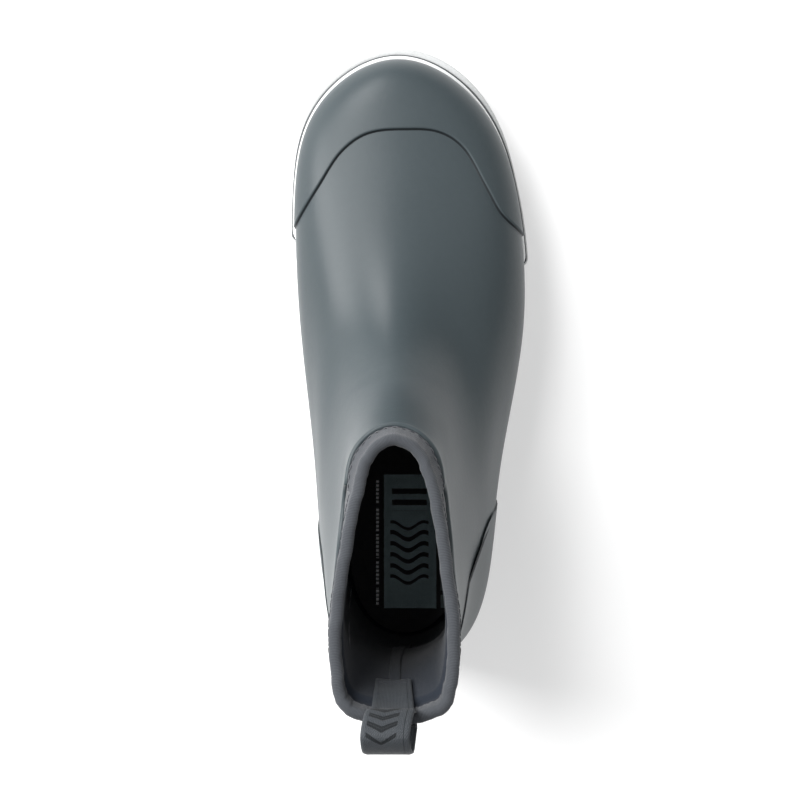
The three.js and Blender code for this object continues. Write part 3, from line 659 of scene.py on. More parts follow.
BLADE_PITCH, BLADE_WIDTH, BLADES = 3.1, 2.5, 3
BAR_PITCH, ZIG, ZIG_DEPTH = 13.0, 15.0, 3.2
edge = wall(u, np.zeros(u.shape), foot_flare - 7.8)
blade_points, blade_faces = [], []
bar = -98.0
while bar < 140:
    if bar < -50 or bar > -12:
        for k in range(BLADES):
            x = np.arange(-60, 60, 1.25)
            zig = ZIG_DEPTH * (2 * np.abs(((x - 3 + ZIG) / ZIG / 2) % 1 - 0.5) * 2 - 1)
            path = bar + zig + (k - (BLADES - 1) / 2) * BLADE_PITCH + 0.35 * np.sin(x * 2 * math.pi / 5)
            right = edge[(u % ROUND) < ROUND / 2]
            left = edge[(u % ROUND) >= ROUND / 2]
            keep = (x < np.interp(path, right[:, 1], right[:, 0])) & (
                x > np.interp(path, left[::-1, 1], left[::-1, 0])
            )
            keep &= path < 138
            x, path = x[keep], path[keep]
            if len(x) < 4:
                continue
            base = float(ground(bar))
            section = [
                (-BLADE_WIDTH / 2, 3.6), (-BLADE_WIDTH / 2, 0.35), (-BLADE_WIDTH / 2 + 0.35, 0),
                (BLADE_WIDTH / 2 - 0.35, 0), (BLADE_WIDTH / 2, 0.35), (BLADE_WIDTH / 2, 3.6),
            ]
            points = np.array([[(a, b + dy, base + dz) for dy, dz in section] for a, b in zip(x, path)])
            first = sum(len(p) for p in blade_points)
            n = len(section)
            blade_points.append(points.reshape(-1, 3))
            for i in range(len(x) - 1):
                a, b = first + i * n, first + (i + 1) * n
                blade_faces += [(a + j, a + (j + 1) % n, b + (j + 1) % n, b + j) for j in range(n)]
            last = first + (len(x) - 1) * n
            blade_faces += [
                (first + 5, first + 4, first + 1, first), (first + 4, first + 3, first + 2, first + 1)
            ]
            blade_faces += [(last, last + 1, last + 4, last + 5), (last + 1, last + 2, last + 3, last + 4)]
    bar += BAR_PITCH
blade_points = np.concatenate(blade_points)
tread = add_mesh(
    "tread_blades", blade_points, blade_faces, blade_points[np.array(blade_faces)][..., :2], white_rubber
)
bpy.context.view_layer.objects.active = tread
tread.select_set(True)
bpy.ops.object.shade_smooth_by_angle(angle=math.radians(30))
tread.select_set(False)
for piece in (cup, tread):
    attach(piece, "boot")
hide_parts("outsole")

u = even_columns(200, 1.0, column_at(1, BUMPER_END[1] - 1.5), column_at(-1, BUMPER_END[-1] - 1.5))
lift = ground(skin(u, 0.0)[..., 1])
band_top = 23.8 + 1.2 * smooth((skin(u, 1.0)[..., 1] - 100) / 55)
nose = np.minimum(np.arange(len(u)), np.arange(len(u))[::-1]) / 6.0
swell = np.sqrt(np.clip(1 - (1 - np.clip(nose, 0, 1)) ** 2, 0, 1))
profile = [
    (12.6, 2.7), (18, 2.75), (band_top - 2.4, 2.7), (band_top - 1.1, 2.45), (band_top - 0.4, 2.0),
    (band_top, 1.4), (band_top - 0.05, 0.8), (band_top - 0.6, 0.2), (16, 0.15), (12.6, 0.15),
]
base_y = skin(u, 1.0)[..., 1]
toe = toe_share(base_y)
standing = swell * (1 + 0.2 * toe)
rings = [wall(u, lift + np.broadcast_to(h, u.shape), 0.4 + (out + 1.15) * standing) for h, out in profile]
sections = np.stack(rings, 1)
bumper_rubber, place, bsdf = finish("bumper_rubber", 0.45, Specular_IOR_Level=0.35)
fleck = noise(place, 0.9, 2)
feed(place, bsdf, Base_Color=fleck.colours((0.7, 0.71, 0.71), (0.8, 0.81, 0.81)), Normal=bump(fleck, 0.02))
bumper = loft("toe_bumper_band", sections, False, bumper_rubber)
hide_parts("toe_bumper")

GROOVE_RISE = 0.35  # above the wall's top

# Painted shade: a strip of dark colour laid in the groove between the band and the wall, standing in for the
# groove's shadow.
groove_painted_shade, place, bsdf = finish("groove_painted_shade", 0.7)
dust = noise(place, 0.8, 3)
feed(place, bsdf, Base_Color=dust.colours((0.05, 0.055, 0.058), (0.12, 0.125, 0.13)))
groove_top = wall_height(base_y) + GROOVE_RISE
groove_out = 0.65 + (4.1 + 1.9 * toe) * bumper_share(u)
section = [(-1.2, -0.45), (0, -0.45), (0, 0.35), (-1.2, 0.35)]
rings = [wall(u, lift + groove_top + rise, groove_out + out * swell) for rise, out in section]
groove = loft("bumper_groove", np.stack(rings, 1), False, groove_painted_shade)
for piece in (bumper, groove):
    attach(piece, "boot")

# ---- Neoprene bootie --------------------------------------------------------------------------------
# A sewn sock of knit-faced foam rubber, bonded inside the shell. It swells out above the shell's edge,
# where it makes the soft collar, and fills the notches so that they stretch.

GAP = 0.3
BOOTIE_OUT = SHELL_THICK + GAP
BOOTIE_IN = BOOTIE_OUT + 1.9
BOOTIE_FLOORS = ((22.6, 17.6), (25.0, 20.0))  # under and over its floor, at the heel and the ball
SWELL, SWELL_START, SWELL_LENGTH = 1.9, 1.0, 4.5


def layer(pair, y):
    heel, ball = pair
    return ground(y) + heel + (ball - heel) * smooth((y + 55) / 65)


def sunk(p):
    toe = smooth((p[..., 1] - 60) / 20)
    heel = smooth((-p[..., 1] - 38) / 18) * (1 - smooth((p[..., 2] - 88) / 16))
    return 1.5 * np.maximum(toe, heel)


def ripple(u, above):
    """The soft collar's slight waviness and its lean into the shin, growing above the shell's edge."""
    around = u % ROUND
    waviness = 0.14 * np.sin(u * 2 * math.pi) + 0.1 * np.sin(
        u * 4 * math.pi + 1
    ) + 0.05 * np.sin(u * 8 * math.pi + 2)
    lean = 3.4 * np.exp(-(((around - 8.35) / 0.95) ** 2)) + 2.9 * np.exp(-(((around - 5.75) / 0.85) ** 2))
    return waviness * smooth(above / 8) - (lean + 0.5) * smooth(above / 13)


def soft_side(u, depth, floors, under_rows, over_rows):
    """One face's rings of a soft layer, from its floor up to the rim."""
    floor = layer(floors, skin(u, 0.0)[..., 1])
    edge = row_at(u, shell_top_height(u))
    rings = [wall(u, floor, -depth - 6), wall(u, floor, -depth - 1.8)]
    low = row_at(u, floor + 1.5)
    for share in np.linspace(0, 1, under_rows):
        v = low + (edge - low) * share
        rings.append(off_skin(u, v, -depth - sunk(skin(u, v))))
    edge_z, rim_z = skin(u, edge)[..., 2], skin(u, float(TOP))[..., 2]
    for share in np.linspace(0, 1, over_rows + 1)[1:]:
        z = edge_z + (rim_z - edge_z) * share
        above = z - edge_z
        v = row_at(u, z)
        rings.append(
            off_skin(u, v, -depth + SWELL * smooth((above - SWELL_START) / SWELL_LENGTH) + ripple(u, above))
        )
    return rings


def surface(place):
    """A piece's own surface map, in millimetres along and across."""
    uv = place.node("ShaderNodeUVMap", {"uv_map": "surface"})
    split = [place.node("ShaderNodeSeparateXYZ", {}, {0: uv}, output=k) for k in (0, 1)]
    return [axis * UV_SPAN for axis in split]


def wave(value, pitch):
    """0 to 1 and back over each pitch."""
    return value.maths("SINE", value * (2 * math.pi / pitch)) * 0.5 + 0.5


def loops(up, round_, wale, course):
    """The height of a knit's loops: legs leaning both ways in each wale."""
    lean = round_.maths("PINGPONG", round_, wale / 2)
    leg = wave(up + lean * (course / wale), course)
    return leg * 0.7 + lean * (0.6 / wale)


neoprene, place, bsdf = finish(
    "neoprene", 0.92, Specular_IOR_Level=0.15, Sheen_Weight=0.18, Sheen_Roughness=0.6
)
up, round_ = surface(place)
knit = loops(up, round_, 0.72, 0.6)
heather = noise(place, 0.7, 3, 0.7)
lint = noise(place, 0.28, 2, 0.6)
shade = noise(place, 14, 3)
speckle = (heather + lint * 0.8 - 0.78) * 2.4
feed(
    place,
    bsdf,
    Base_Color=(knit * 0.3 + speckle * 0.75 + shade * 0.2).colours(
        (0.018, 0.02, 0.023), (0.083, 0.088, 0.098)
    ),
    Roughness=0.86 + 0.1 * lint,
    Normal=bump(knit, 0.09, bump(lint, 0.05)),
)

u = even_columns(300, 8.0)
outside = soft_side(u, BOOTIE_OUT, BOOTIE_FLOORS[0], 26, 16)
inside = soft_side(u, BOOTIE_IN, BOOTIE_FLOORS[1], 26, 16)
bootie = loft("bootie", np.stack(outside + inside[::-1]), False, neoprene)
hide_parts("neoprene_foot", "neoprene_shaft")
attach(bootie, "boot")

# ---- Jersey lining ----------------------------------------------------------------------------------
# Brushed polyester jersey, laminated to the bootie's inside. A flat tape covers its seam up the heel.

LINING_OUT = BOOTIE_IN + GAP
LINING_IN = LINING_OUT + 0.8
LINING_FLOORS = ((25.3, 20.3), (26.3, 21.3))

jersey, place, bsdf = finish("jersey", 0.9, Specular_IOR_Level=0.1, Sheen_Weight=0.1, Sheen_Roughness=0.5)
up, round_ = surface(place)
knit = loops(up, round_, 0.9, 0.75)
nap = noise(place, 0.45, 3, 0.7)
cloud = noise(place, 18, 3)
feed(
    place,
    bsdf,
    Base_Color=(knit * 0.35 + nap * 0.4 + cloud * 0.25).colours((0.007, 0.009, 0.013), (0.03, 0.037, 0.05)),
    Roughness=0.84 + 0.12 * nap,
    Normal=bump(knit, 0.07, bump(nap, 0.06)),
)
u = even_columns(240, 8.0)
outside = soft_side(u, LINING_OUT, LINING_FLOORS[0], 26, 12)
inside = soft_side(u, LINING_IN, LINING_FLOORS[1], 26, 12)
lining = loft("lining", np.stack(outside + inside[::-1]), False, jersey)
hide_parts("jersey_lining")

TAPE_WIDTH = 5.6
reach = np.concatenate([np.linspace(-1, 1, 15), np.linspace(1, -1, 15)])
thick = np.concatenate([0.62 * (1 - np.linspace(-1, 1, 15) ** 6) + 0.12, np.full(15, -0.12)])
rim_half = crossing(
    np.array(0.0), np.array(2.0), lambda v: skin(v, 8.0)[..., 0] - skin(0.0, 8.0)[..., 0] - TAPE_WIDTH / 2
)
tape_u = (reach * float(rim_half)) % ROUND
rows_down = np.linspace(2.1, TOP - 0.35, 80)
sections = np.stack(
    [off_skin(tape_u, v, -LINING_IN - sunk(skin(tape_u, v)) - thick - 0.1) for v in rows_down]
)
edge_row = row_at(tape_u, shell_top_height(tape_u))
for k, v in enumerate(rows_down):
    above = skin(tape_u, v)[..., 2] - skin(tape_u, edge_row)[..., 2]
    out = SWELL * smooth((above - SWELL_START) / SWELL_LENGTH) + ripple(tape_u, above)
    sections[k] += outward(tape_u, v) * out[..., None]
tape = loft("heel_seam_tape", sections, False, jersey)
for piece in (lining, tape):
    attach(piece, "boot")

# ---- Collar binding ---------------------------------------------------------------------------------
# A ribbed knit tape folded over the rim and sewn through both layers. Its ribs run across the fold.

RIM_OUTER = -BOOTIE_OUT + SWELL
RIM_INNER = -LINING_IN + SWELL
RIM_MIDDLE = (RIM_OUTER + RIM_INNER) / 2
RIM_HALF = (RIM_OUTER - RIM_INNER) / 2
BINDING_THICK = 0.8
BINDING_DROP = 8.0
INNER_DROP = 4.6
RIBS = 470
COLUMNS_PER_RIB = 4

binding_knit, place, bsdf = finish(
    "binding_knit", 0.9, Specular_IOR_Level=0.15, Sheen_Weight=0.18, Sheen_Roughness=0.5
)
rib = place.node("ShaderNodeAttribute", {"attribute_name": "rib"}, output=2)
round_, up = surface(place)
yarn = noise(place, 0.35, 3, 0.7)
cloud = noise(place, 12, 2)
twist = wave(up + round_ * 0.6, 0.5)
feed(
    place,
    bsdf,
    Base_Color=(
        rib * 0.6 + yarn * 0.35 + cloud * 0.2 + twist * 0.1
    ).colours((0.012, 0.0135, 0.016), (0.08, 0.086, 0.096)),
    Roughness=0.84 + 0.1 * yarn,
    Normal=bump(twist, 0.04, bump(yarn, 0.04)),
)

u = even_columns(RIBS * COLUMNS_PER_RIB, float(TOP))
phase = np.arange(len(u)) * 2 * math.pi / COLUMNS_PER_RIB
rib_height = 0.5 + 0.5 * np.cos(phase)
rim_z = skin(u, float(TOP))[..., 2]


def rim_out(u, z):
    """How far the collar stands out at height z, beyond the layers' own depth."""
    above = z - shell_top_height(u)
    return SWELL * (smooth((above - SWELL_START) / SWELL_LENGTH) - 1) + ripple(u, above)


def folded(u, reach, drops, inner_drops, arc_points, extra):
    """Outer leg, fold and inner leg of a tape at some reach from the middle of the rim."""
    rim_z = skin(u, float(TOP))[..., 2]
    points = []
    for drop in drops:
        z = rim_z - drop
        points.append(off_skin(u, row_at(u, z), RIM_MIDDLE + reach + extra + rim_out(u, z)))
    normal = outward(u, float(TOP))
    rising = skin(u, float(TOP)) - skin(u, TOP - 0.05)
    rising /= np.linalg.norm(rising, axis=-1, keepdims=True)
    for angle in np.linspace(0, math.pi, arc_points):
        level = RIM_MIDDLE + (reach + extra) * math.cos(angle) + rim_out(u, rim_z)
        height = (reach + extra) * 0.85 * math.sin(angle) + GAP
        points.append(
            skin(u, float(TOP)) + normal * np.expand_dims(level, -1) + rising * np.expand_dims(height, -1)
        )
    for drop in inner_drops[::-1]:
        z = rim_z - drop
        points.append(off_skin(u, row_at(u, z), RIM_MIDDLE - reach - extra + rim_out(u, z)))
    return points


leg = [BINDING_DROP, BINDING_DROP - 0.35, 6.6, 5.0, 3.4, 1.8, 0.7]
inner_leg = [INNER_DROP, INNER_DROP - 0.3, 3.2, 2.2, 1.2, 0.6]
outer = folded(u, RIM_HALF + GAP + BINDING_THICK - 0.35, leg, inner_leg, 9, 0.16 * rib_height + 0.05)
outer[0] -= outward(u, row_at(u, rim_z - BINDING_DROP)) * 0.45
outer[-1] += outward(u, row_at(u, rim_z - INNER_DROP)) * 0.45
inner = folded(u, RIM_HALF + 0.1, leg[::3], inner_leg[::2], 3, 0.0)
sections = np.stack(outer + inner[::-1], 1)
binding = loft("rim_binding", sections, True, binding_knit)
ribs = np.zeros(sections.shape[:2])
ribs[:] = rib_height[:, None]
binding.data.attributes.new("rib", "FLOAT", "POINT").data.foreach_set("value", ribs.ravel())
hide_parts("collar_binding")
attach(binding, "boot")

thread, place, bsdf = finish("thread", 0.7, Specular_IOR_Level=0.35)
ply = noise(place, 0.3, 2)
feed(place, bsdf, Base_Color=ply.colours((0.012, 0.013, 0.018), (0.05, 0.052, 0.062)), Normal=bump(ply, 0.03))


def stitches(name, at, towards, normal, length, radius, material):
    """One sewn stitch, modelled once and laid at each place along a seam."""
    bpy.ops.mesh.primitive_uv_sphere_add(segments=6, ring_count=5, radius=1)
    seed = bpy.context.object
    p = np.array([v.co for v in seed.data.vertices])
    polygons = [list(f.vertices) for f in seed.data.polygons]
    bpy.data.objects.remove(seed)
    side = np.cross(normal, towards)
    length = np.broadcast_to(length, len(at))
    body = p[:, 2] * np.sqrt(np.clip(1.15 - p[:, 2] ** 2 * 0.15, 0, 2))
    points = (
        at[:, None]
        + towards[:, None] * body[None, :, None] * length[:, None, None] / 2
        + side[:, None] * p[None, :, 0, None] * radius
        + normal[:, None] * p[None, :, 1, None] * radius * 0.8
    )
    faces = [[v + k * len(p) for v in f] for k in range(len(at)) for f in polygons]
    mesh = bpy.data.meshes.new(name)
    mesh.from_pydata(((points.reshape(-1, 3) - ORIGIN) * MM).tolist(), [], faces)
    mesh.materials.append(material)
    mesh.shade_smooth()
    piece = bpy.data.objects.new(name, mesh)
    bpy.context.collection.objects.link(piece)
    return piece


def seam(name, place_at, count, length, radius, lift, zig, start=0.0, end=float(ROUND)):
    """Stitches round the collar on a surface place_at(u, offset along the wall)."""
    u = even_columns(count, float(TOP), start, end)
    zag = zig * np.where(np.arange(count) % 2, 1, -1) + 0.25 * np.sin(np.arange(count) * 12.9898)
    here, ahead = place_at(u, zag), place_at(u + 0.01, zag + 0.012 * zig)
    towards = ahead - here
    towards /= np.linalg.norm(towards, axis=-1, keepdims=True)
    normal = outward(u, np.full(u.shape, TOP - 0.3)) * (1 if lift > 0 else -1)
    size = length * (1 + 0.22 * np.sin(np.arange(count) * 78.233))
    return stitches(name, here + normal * abs(lift), towards, normal, size, radius, thread)


def on_outer_leg(u, zag):
    z = skin(u, float(TOP))[..., 2] - (BINDING_DROP - 1.1) + zag
    return off_skin(u, row_at(u, z), RIM_OUTER + GAP + BINDING_THICK - 0.2 + rim_out(u, z))


def on_inner_leg(u, zag):
    z = skin(u, float(TOP))[..., 2] - (INNER_DROP - 0.5) + zag
    return off_skin(u, row_at(u, z), RIM_INNER - GAP - BINDING_THICK + 0.25 + rim_out(u, z))


outer_seam = seam("collar_seam_outside", on_outer_leg, 150, 1.9, 0.24, 0.14, 0.42)
inner_seam = seam("collar_seam_inside", on_inner_leg, 170, 1.5, 0.2, -0.1, 0.15)
for piece in (outer_seam, inner_seam):
    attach(piece, "boot")

# ---- Pull tab -------------------------------------------------------------------------------------
# One strip of twill webbing, looped over the back of the collar to draw the boot on. Its ends are sewn flat
# inside and outside the rim.

TAB_WIDTH, TAB_THICK = 18.5, 1.6
TAB_X, TAB_LEAN = -2.8, -0.15
TAB_COLUMNS, TAB_STATIONS = 25, 150
OVER_BINDING = GAP + BINDING_THICK + GAP
rim_back = skin(0.0, float(TOP))
LOOP_FOOT = rim_back[2] + 3.6
tape_middle = rim_back[1] - RIM_MIDDLE
leg_out = RIM_HALF + OVER_BINDING + TAB_THICK / 2
LOOP = [
    (tape_middle + leg_out, LOOP_FOOT),
    (tape_middle + leg_out + 1.2, LOOP_FOOT + 6),
    (tape_middle + leg_out - 1.6, LOOP_FOOT + 14),
    (tape_middle - 2.5, LOOP_FOOT + 18.5),
    (tape_middle - leg_out - 4.6, LOOP_FOOT + 14.5),
    (tape_middle - leg_out - 6, LOOP_FOOT + 7),
    (tape_middle - leg_out, LOOP_FOOT),
]
INNER_LEG = [
    (27, -LINING_IN - GAP), (20, -LINING_IN - GAP), (13, -LINING_IN - GAP),
    (6.5, RIM_INNER - OVER_BINDING), (0.6, RIM_INNER - OVER_BINDING),
]
OUTER_LEG = [
    (0.6, RIM_OUTER + OVER_BINDING), (6, RIM_OUTER + OVER_BINDING), (9.5, RIM_OUTER + OVER_BINDING),
    (11.5, 2.2),
]


def tab_columns(x):
    """u where the rim's back crosses each x."""
    low, high = np.full(x.shape, -2.0), np.full(x.shape, 2.0)
    return crossing(low, high, lambda u: skin(u % ROUND, float(TOP))[..., 0] - x) % ROUND


def leg_point(u, drop, face, side):
    z = skin(u, float(TOP))[..., 2] - drop
    return off_skin(u, row_at(u, z), face + side * TAB_THICK / 2)


def catmull(points, count):
    """An even row of points on the smooth curve through some points."""
    points = np.asarray(points)
    ends = [2 * points[:1] - points[1:2], points, 2 * points[-1:] - points[-2:-1]]
    p = np.concatenate(ends)
    t = np.linspace(0, len(points) - 1, count * 6)
    i = np.minimum(t.astype(int), len(points) - 2)
    f = (t - i).reshape(-1, *[1] * (points.ndim - 1))
    a, b, c, d = p[i], p[i + 1], p[i + 2], p[i + 3]
    curve = 0.5 * (2 * b + (c - a) * f + (2 * a - 5 * b + 4 * c - d) * f**2 + (3 * b - a - 3 * c + d) * f**3)
    middle = curve if points.ndim == 2 else curve[:, points.shape[1] // 2]
    length = np.concatenate([[0], np.cumsum(np.linalg.norm(np.diff(middle, axis=0), axis=1))])
    pick = np.interp(np.linspace(0, length[-1], count), length, np.arange(len(length)))
    below = np.minimum(pick.astype(int), len(curve) - 2)
    f = (pick - below).reshape(-1, *[1] * (points.ndim - 1))
    return curve[below] * (1 - f) + curve[below + 1] * f


x = np.linspace(-TAB_WIDTH / 2, TAB_WIDTH / 2, TAB_COLUMNS)
u = tab_columns(TAB_X + x)
stations = [leg_point(u, drop, face, -1) for drop, face in INNER_LEG]
for y, z in LOOP:
    stations.append(
        np.stack([TAB_X + x + TAB_LEAN * (z - LOOP_FOOT), np.full(x.shape, y), np.full(x.shape, z)], 1)
    )
stations += [leg_point(u, drop, face, 1) for drop, face in OUTER_LEG]
strip = catmull(stations, TAB_STATIONS)
tangent = np.gradient(strip, axis=0)
across = np.gradient(strip, axis=1)
normal = np.cross(across, tangent)
normal /= np.linalg.norm(normal, axis=-1, keepdims=True)
half = TAB_THICK / 2 * (1 - np.abs(x / (TAB_WIDTH / 2)) ** 10 * 0.55)
half += 0.12 * np.exp(-(((np.abs(x) - TAB_WIDTH / 2 + 1.5) / 0.7) ** 2))
face = strip + normal * half[None, :, None]
back = strip - normal * half[None, :, None]

webbing, place, bsdf = finish("webbing", 0.6, Specular_IOR_Level=0.25, Sheen_Weight=0.08, Sheen_Roughness=0.4)
along, over = surface(place)
over = over.maths("PINGPONG", over, TAB_WIDTH + 0.5)
twill = wave(along * 0.8 + over * 1.1, 0.95)
warp = wave(over, 0.62)
fuzz = noise(place, 0.4, 3, 0.7)
# Painted highlight: small light specks are tinted into the webbing's colour as glints.
painted_glint = noise(place, 0.22, 1)
painted_glint = painted_glint.node("ShaderNodeMapRange", {}, {0: painted_glint, 1: 0.62, 2: 0.75, 3: 0.0, 4: 0.6})
cloth = painted_glint.tint(
    (twill * 0.35 + warp * 0.25 + fuzz * 0.4).colours(
        (0.012, 0.014, 0.017), (0.058, 0.065, 0.073)
    ), (0.2, 0.22, 0.24)
)
MARK_START, MARK_PITCH, MARK_COUNT, MARK_WIDE = 33.0, 5.4, 4, 2.6
middle_line = (over - TAB_WIDTH / 2).maths("ABSOLUTE", over - TAB_WIDTH / 2)
chevron = along + middle_line * 0.55
mark = chevron.maths("PINGPONG", chevron - MARK_START, MARK_PITCH / 2).inside(0.0, MARK_WIDE / 2, 0.12)
mark = mark * chevron.inside(
    MARK_START, MARK_START + MARK_PITCH * MARK_COUNT, 0.2
) * middle_line.inside(-1, 5.4, 0.15)
selvedge = middle_line.inside(7.6, 8.1, 0.15)
feed(
    place,
    bsdf,
    Base_Color=selvedge.tint(mark.tint(cloth, (0.007, 0.009, 0.011)), (0.016, 0.019, 0.022)),
    Roughness=0.5 + 0.2 * fuzz + 0.1 * mark,
    Normal=bump(twill * 0.6 + warp * 0.4 - mark * 1.6, 0.14, bump(fuzz, 0.06)),
)
tab = loft("pull_tab", np.concatenate([face, back[:, ::-1]], 1), False, webbing)
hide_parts("pull_tab_inner_leg", "pull_tab_outer_leg", "pull_tab_loop")


def row_frame(point):
    return tuple((np.asarray(point) - ORIGIN) * MM)


row_frame((0, rim_back[1], rim_back[2] + 0.5))
row_frame((0, rim_back[1], LOOP_FOOT + 3))
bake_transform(tab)


def box_stitch(name, side, top_drop, end_drop, face):
    """A rectangle of stitches that holds a leg down: two sides, and a double bar across its end."""
    inset, pitch = TAB_WIDTH / 2 - 1.8, 1.7
    rows = []
    for x in (-inset, inset):
        drops = np.arange(top_drop, end_drop, pitch)
        rows.append((np.full(drops.shape, x), drops, "down"))
    for drop in (end_drop, end_drop - 1.6):
        xs = np.arange(-inset, inset + 0.1, 1.3)
        rows.append((xs, np.full(xs.shape, drop), "across"))
    at, towards, normals = [], [], []
    for xs, drops, way in rows:
        u = tab_columns(TAB_X + xs)
        here = leg_point(u, drops, face(drops) + side * TAB_THICK / 2, side)
        step = (0.4, 0) if way == "down" else (0, 0.4)
        ahead_u = tab_columns(TAB_X + xs + step[1])
        drop = drops + step[0]
        ahead = leg_point(ahead_u, drop, face(drop) + side * TAB_THICK / 2, side)
        line = ahead - here
        towards.append(line / np.linalg.norm(line, axis=-1, keepdims=True))
        normals.append(outward(u, np.full(u.shape, TOP - 0.5)) * side)
        at.append(here)
    return stitches(
        name, np.concatenate(at), np.concatenate(towards), np.concatenate(normals), 1.25, 0.2, thread
    )


def inner_face(drop):
    return np.interp(drop, [6.5, 13], [RIM_INNER - OVER_BINDING, -LINING_IN - GAP])


def outer_face(drop):
    return np.full(np.shape(drop), RIM_OUTER + OVER_BINDING)


inner_box = box_stitch("tab_stitches_inside", -1, 9.0, 25.0, inner_face)
outer_box = box_stitch("tab_stitches_outside", 1, 3.0, 9.3, outer_face)
for piece in (inner_box, outer_box):
    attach(piece, "boot")

# ---- Footbed ----------------------------------------------------------------------------------------
# A moulded foam footbed under a flat woven cover, loose in the boot. The cover is printed with a slate
# panel of wave lines and plain bars, and the heel end lifts while the front stays under the toes.

FOOTBED_BOTTOM, FOOTBED_TOP = (26.6, 21.6), (32.2, 26.2)
COVER_BOTTOM, COVER_TOP = (32.5, 26.5), (33.3, 27.3)
CUP_LIFT, CUP_WIDTH = 4.5, 9.0

u = even_columns(200, 1.0)
base_y = skin(u, 0.0)[..., 1]
behind = 1 - smooth((base_y + 55) / 65)
margin = -(LINING_IN + 2.2) - sunk(skin(u, 1.0)) - 1.6 * behind


def footbed_ring(pair, inset, lift):
    z = layer(pair, base_y)
    ring = wall(u, z, margin - inset)
    ring[..., 2] = z + lift * behind
    return ring


def cupped(bottom, top, edge):
    """Rings of a footbed layer, its edge rounded by `edge` and curled up round the heel."""
    under = [(CUP_WIDTH + 10, 0), (CUP_WIDTH, 0), (CUP_WIDTH / 2, 0.22 * CUP_LIFT), (edge, 0.85 * CUP_LIFT)]
    over = [(edge * 0.7, CUP_LIFT), (CUP_WIDTH / 2, 0.22 * CUP_LIFT), (CUP_WIDTH, 0), (CUP_WIDTH + 10, 0)]
    rings = [footbed_ring(bottom, *at) for at in under]
    for share, inset in ((0.25, edge * 0.2), (0.6, 0.0), (0.9, edge * 0.15)):
        pair = tuple(b + (t - b) * share for b, t in zip(bottom, top))
        rings.append(footbed_ring(pair, inset, CUP_LIFT * 0.95))
    return np.stack(rings + [footbed_ring(top, *at) for at in over])


foam, place, bsdf = finish("foam", 0.8, Specular_IOR_Level=0.3)
cells = place.node("ShaderNodeTexVoronoi", {}, {"Vector": place, "Scale": 1400})
cloud = noise(place, 6, 3)
feed(
    place,
    bsdf,
    Base_Color=(cells * 0.5 + cloud * 0.5).colours((0.016, 0.019, 0.022), (0.034, 0.038, 0.042)),
    Roughness=0.72 + 0.15 * cloud,
    Normal=bump(cells, 0.12),
)
footbed = loft("footbed", cupped(FOOTBED_BOTTOM, FOOTBED_TOP, 1.4), False, foam)
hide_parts("footbed_front", "footbed_rear")

cover_cloth, place, bsdf = finish("cover_cloth", 0.85, Specular_IOR_Level=0.25, Sheen_Weight=0.1)
uv = place.node("ShaderNodeUVMap", {"uv_map": "plan"})
x, y = [place.node("ShaderNodeSeparateXYZ", {}, {0: uv}, output=k) * UV_SPAN for k in (0, 1)]
weave = wave(x, 0.8) * 0.5 + wave(y, 0.8) * 0.5
lint = noise(place, 0.6, 3, 0.7)
PANEL = {"x": (-7.5, 17.0), "y": (-97.5, -35.0)}
panel = x.inside(*PANEL["x"], 0.15) * y.inside(*PANEL["y"], 0.15)
swell = y + 1.7 * (x * 0.42).maths("SINE", x * 0.42)
crest = swell.maths("PINGPONG", swell + 100, 2.6).inside(-0.1, 1.05, 0.12)
crest = crest * swell.inside(-85, -58, 0.2) * x.inside(-4.6, 13.4, 0.15)
bar_field = y.inside(-52, -39, 0.15) * x.inside(-3.8, 12.6, 0.15)
bars = y.maths("PINGPONG", y + 100, 2.6).inside(-0.1, 1.3, 0.12) * bar_field
small = y.maths("PINGPONG", y + 100, 0.95).inside(0.3, 2, 0.12)
gaps = y.maths("PINGPONG", y + 100, 6.3).inside(0.7, 9, 0.12)
legend = small * gaps * x.inside(-11.2, -9.9, 0.1) * y.inside(-96, -37, 0.1)
blocks = y.maths(
    "PINGPONG", y + 100, 4.9
).inside(1.0, 9, 0.12) * x.inside(19.0, 23.5, 0.15) * y.inside(-97, -36, 0.15)
ink = panel * (1 - crest) * (1 - bars)
cloth = (weave * 0.4 + lint * 0.6).colours((0.012, 0.012, 0.014), (0.034, 0.034, 0.038))
print_grey = ink.node(
    "ShaderNodeMix",
    {"data_type": "RGBA"},
    {0: ink, 6: cloth, 7: lint.colours((0.22, 0.3, 0.33), (0.34, 0.44, 0.47))},
    output=2,
)
feed(
    place,
    bsdf,
    Base_Color=legend.tint(blocks.tint(print_grey, (0.13, 0.16, 0.17)), (0.75, 0.76, 0.78)),
    Roughness=0.78 + 0.12 * lint - 0.12 * ink,
    Normal=bump(weave, 0.05, bump(lint, 0.03)),
)
cover = loft("footbed_cover", cupped(COVER_BOTTOM, COVER_TOP, 0.5), False, cover_cloth)
plan = np.array([v.co for v in cover.data.vertices]) / MM + ORIGIN
corner = np.zeros(len(cover.data.loops), int)
cover.data.loops.foreach_get("vertex_index", corner)
cover.data.uv_layers.new(name="plan").data.foreach_set("uv", (plan[corner][:, :2] / UV_SPAN).ravel())
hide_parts("footbed_cover_front", "footbed_cover_rear")
for piece in (footbed, cover):
    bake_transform(piece)

# ---- Size mark --------------------------------------------------------------------------------------
# The boot's size, heat-printed in white on the lining of the inner side.

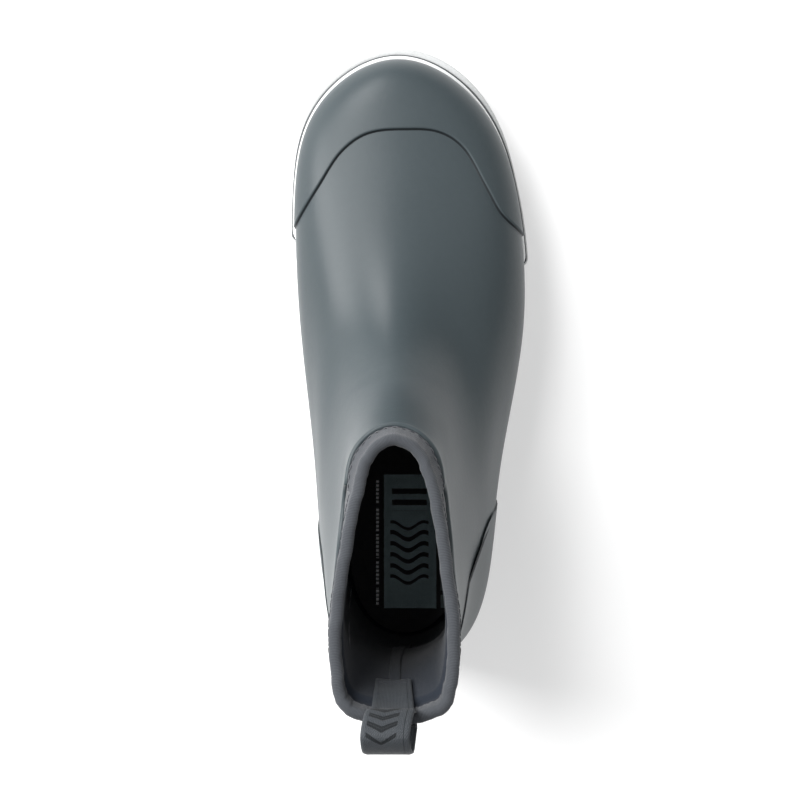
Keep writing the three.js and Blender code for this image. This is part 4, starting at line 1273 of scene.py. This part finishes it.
MARK_U, MARK_TOP, MARK_HIGH = 10.6, 24.0, 7.0
bpy.ops.object.text_add()
size_mark = bpy.context.object
size_mark.name = "size_mark"
size_mark.data.body = "42  27"
size_mark.data.extrude = 0.02
bpy.ops.object.convert(target="MESH")
size_mark = bpy.context.object
letters = np.array([v.co for v in size_mark.data.vertices])
letters *= MARK_HIGH / 0.7
run = np.linspace(0, 5, 400)
length = np.concatenate(
    [[0], np.cumsum(np.linalg.norm(np.diff(skin(MARK_U + run * 0.5, 8.0), axis=0), axis=1))]
)
letters_u = (MARK_U + np.interp(letters[:, 0], length, run * 0.5)) % ROUND
height = skin(letters_u, float(TOP))[..., 2] - MARK_TOP + letters[:, 1]
v = row_at(letters_u, height)
spots = off_skin(letters_u, v, -LINING_IN - 0.12 + rim_out(letters_u, height))
size_mark.data.vertices.foreach_set("co", ((spots - ORIGIN) * MM).ravel())
print_white, place, bsdf = finish("print_white", 0.6)
crackle = noise(place, 0.5, 3)
feed(
    place,
    bsdf,
    Base_Color=crackle.colours((0.35, 0.36, 0.38), (0.62, 0.63, 0.65)),
    Normal=bump(crackle, 0.03),
)
size_mark.data.materials.append(print_white)
size_mark.select_set(False)
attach(size_mark, "boot")

# ---- Inside the sole --------------------------------------------------------------------------------
# The midsole foam, its steel shank and heel cushion, the pressed insole board and the two stiffeners are
# hidden once the boot is lasted, and keep their own shapes.


def dressed(name, node, low, high, roughness, grain_mm, depth_mm, metal=0.0):
    made, place, bsdf = finish(name, roughness, Metallic=metal)
    grain, cloud = noise(place, grain_mm, 3), noise(place, grain_mm * 12, 2)
    feed(
        place,
        bsdf,
        Base_Color=(grain * 0.6 + cloud * 0.4).colours(low, high),
        Roughness=roughness - 0.08 + 0.16 * cloud,
        Normal=bump(grain, depth_mm),
    )
    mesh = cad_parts[node].data
    mesh.materials.clear()
    mesh.materials.append(made)


dressed("midsole_foam", "midsole", (0.02, 0.023, 0.027), (0.04, 0.045, 0.05), 0.8, 0.8, 0.1)
dressed("heel_gel", "heel_cushion", (0.03, 0.07, 0.09), (0.05, 0.1, 0.13), 0.35, 2.0, 0.05)
dressed("shank_steel", "shank", (0.3, 0.31, 0.33), (0.45, 0.46, 0.48), 0.35, 0.25, 0.02, 1.0)
dressed("fibre_board", "insole_board", (0.22, 0.16, 0.1), (0.36, 0.28, 0.18), 0.85, 0.5, 0.08)
dressed("toe_puff_sheet", "toe_puff", (0.03, 0.032, 0.035), (0.06, 0.062, 0.066), 0.5, 0.6, 0.05)
dressed("heel_stiffener_sheet", "heel_stiffener", (0.03, 0.032, 0.035), (0.06, 0.062, 0.066), 0.5, 0.6, 0.05)
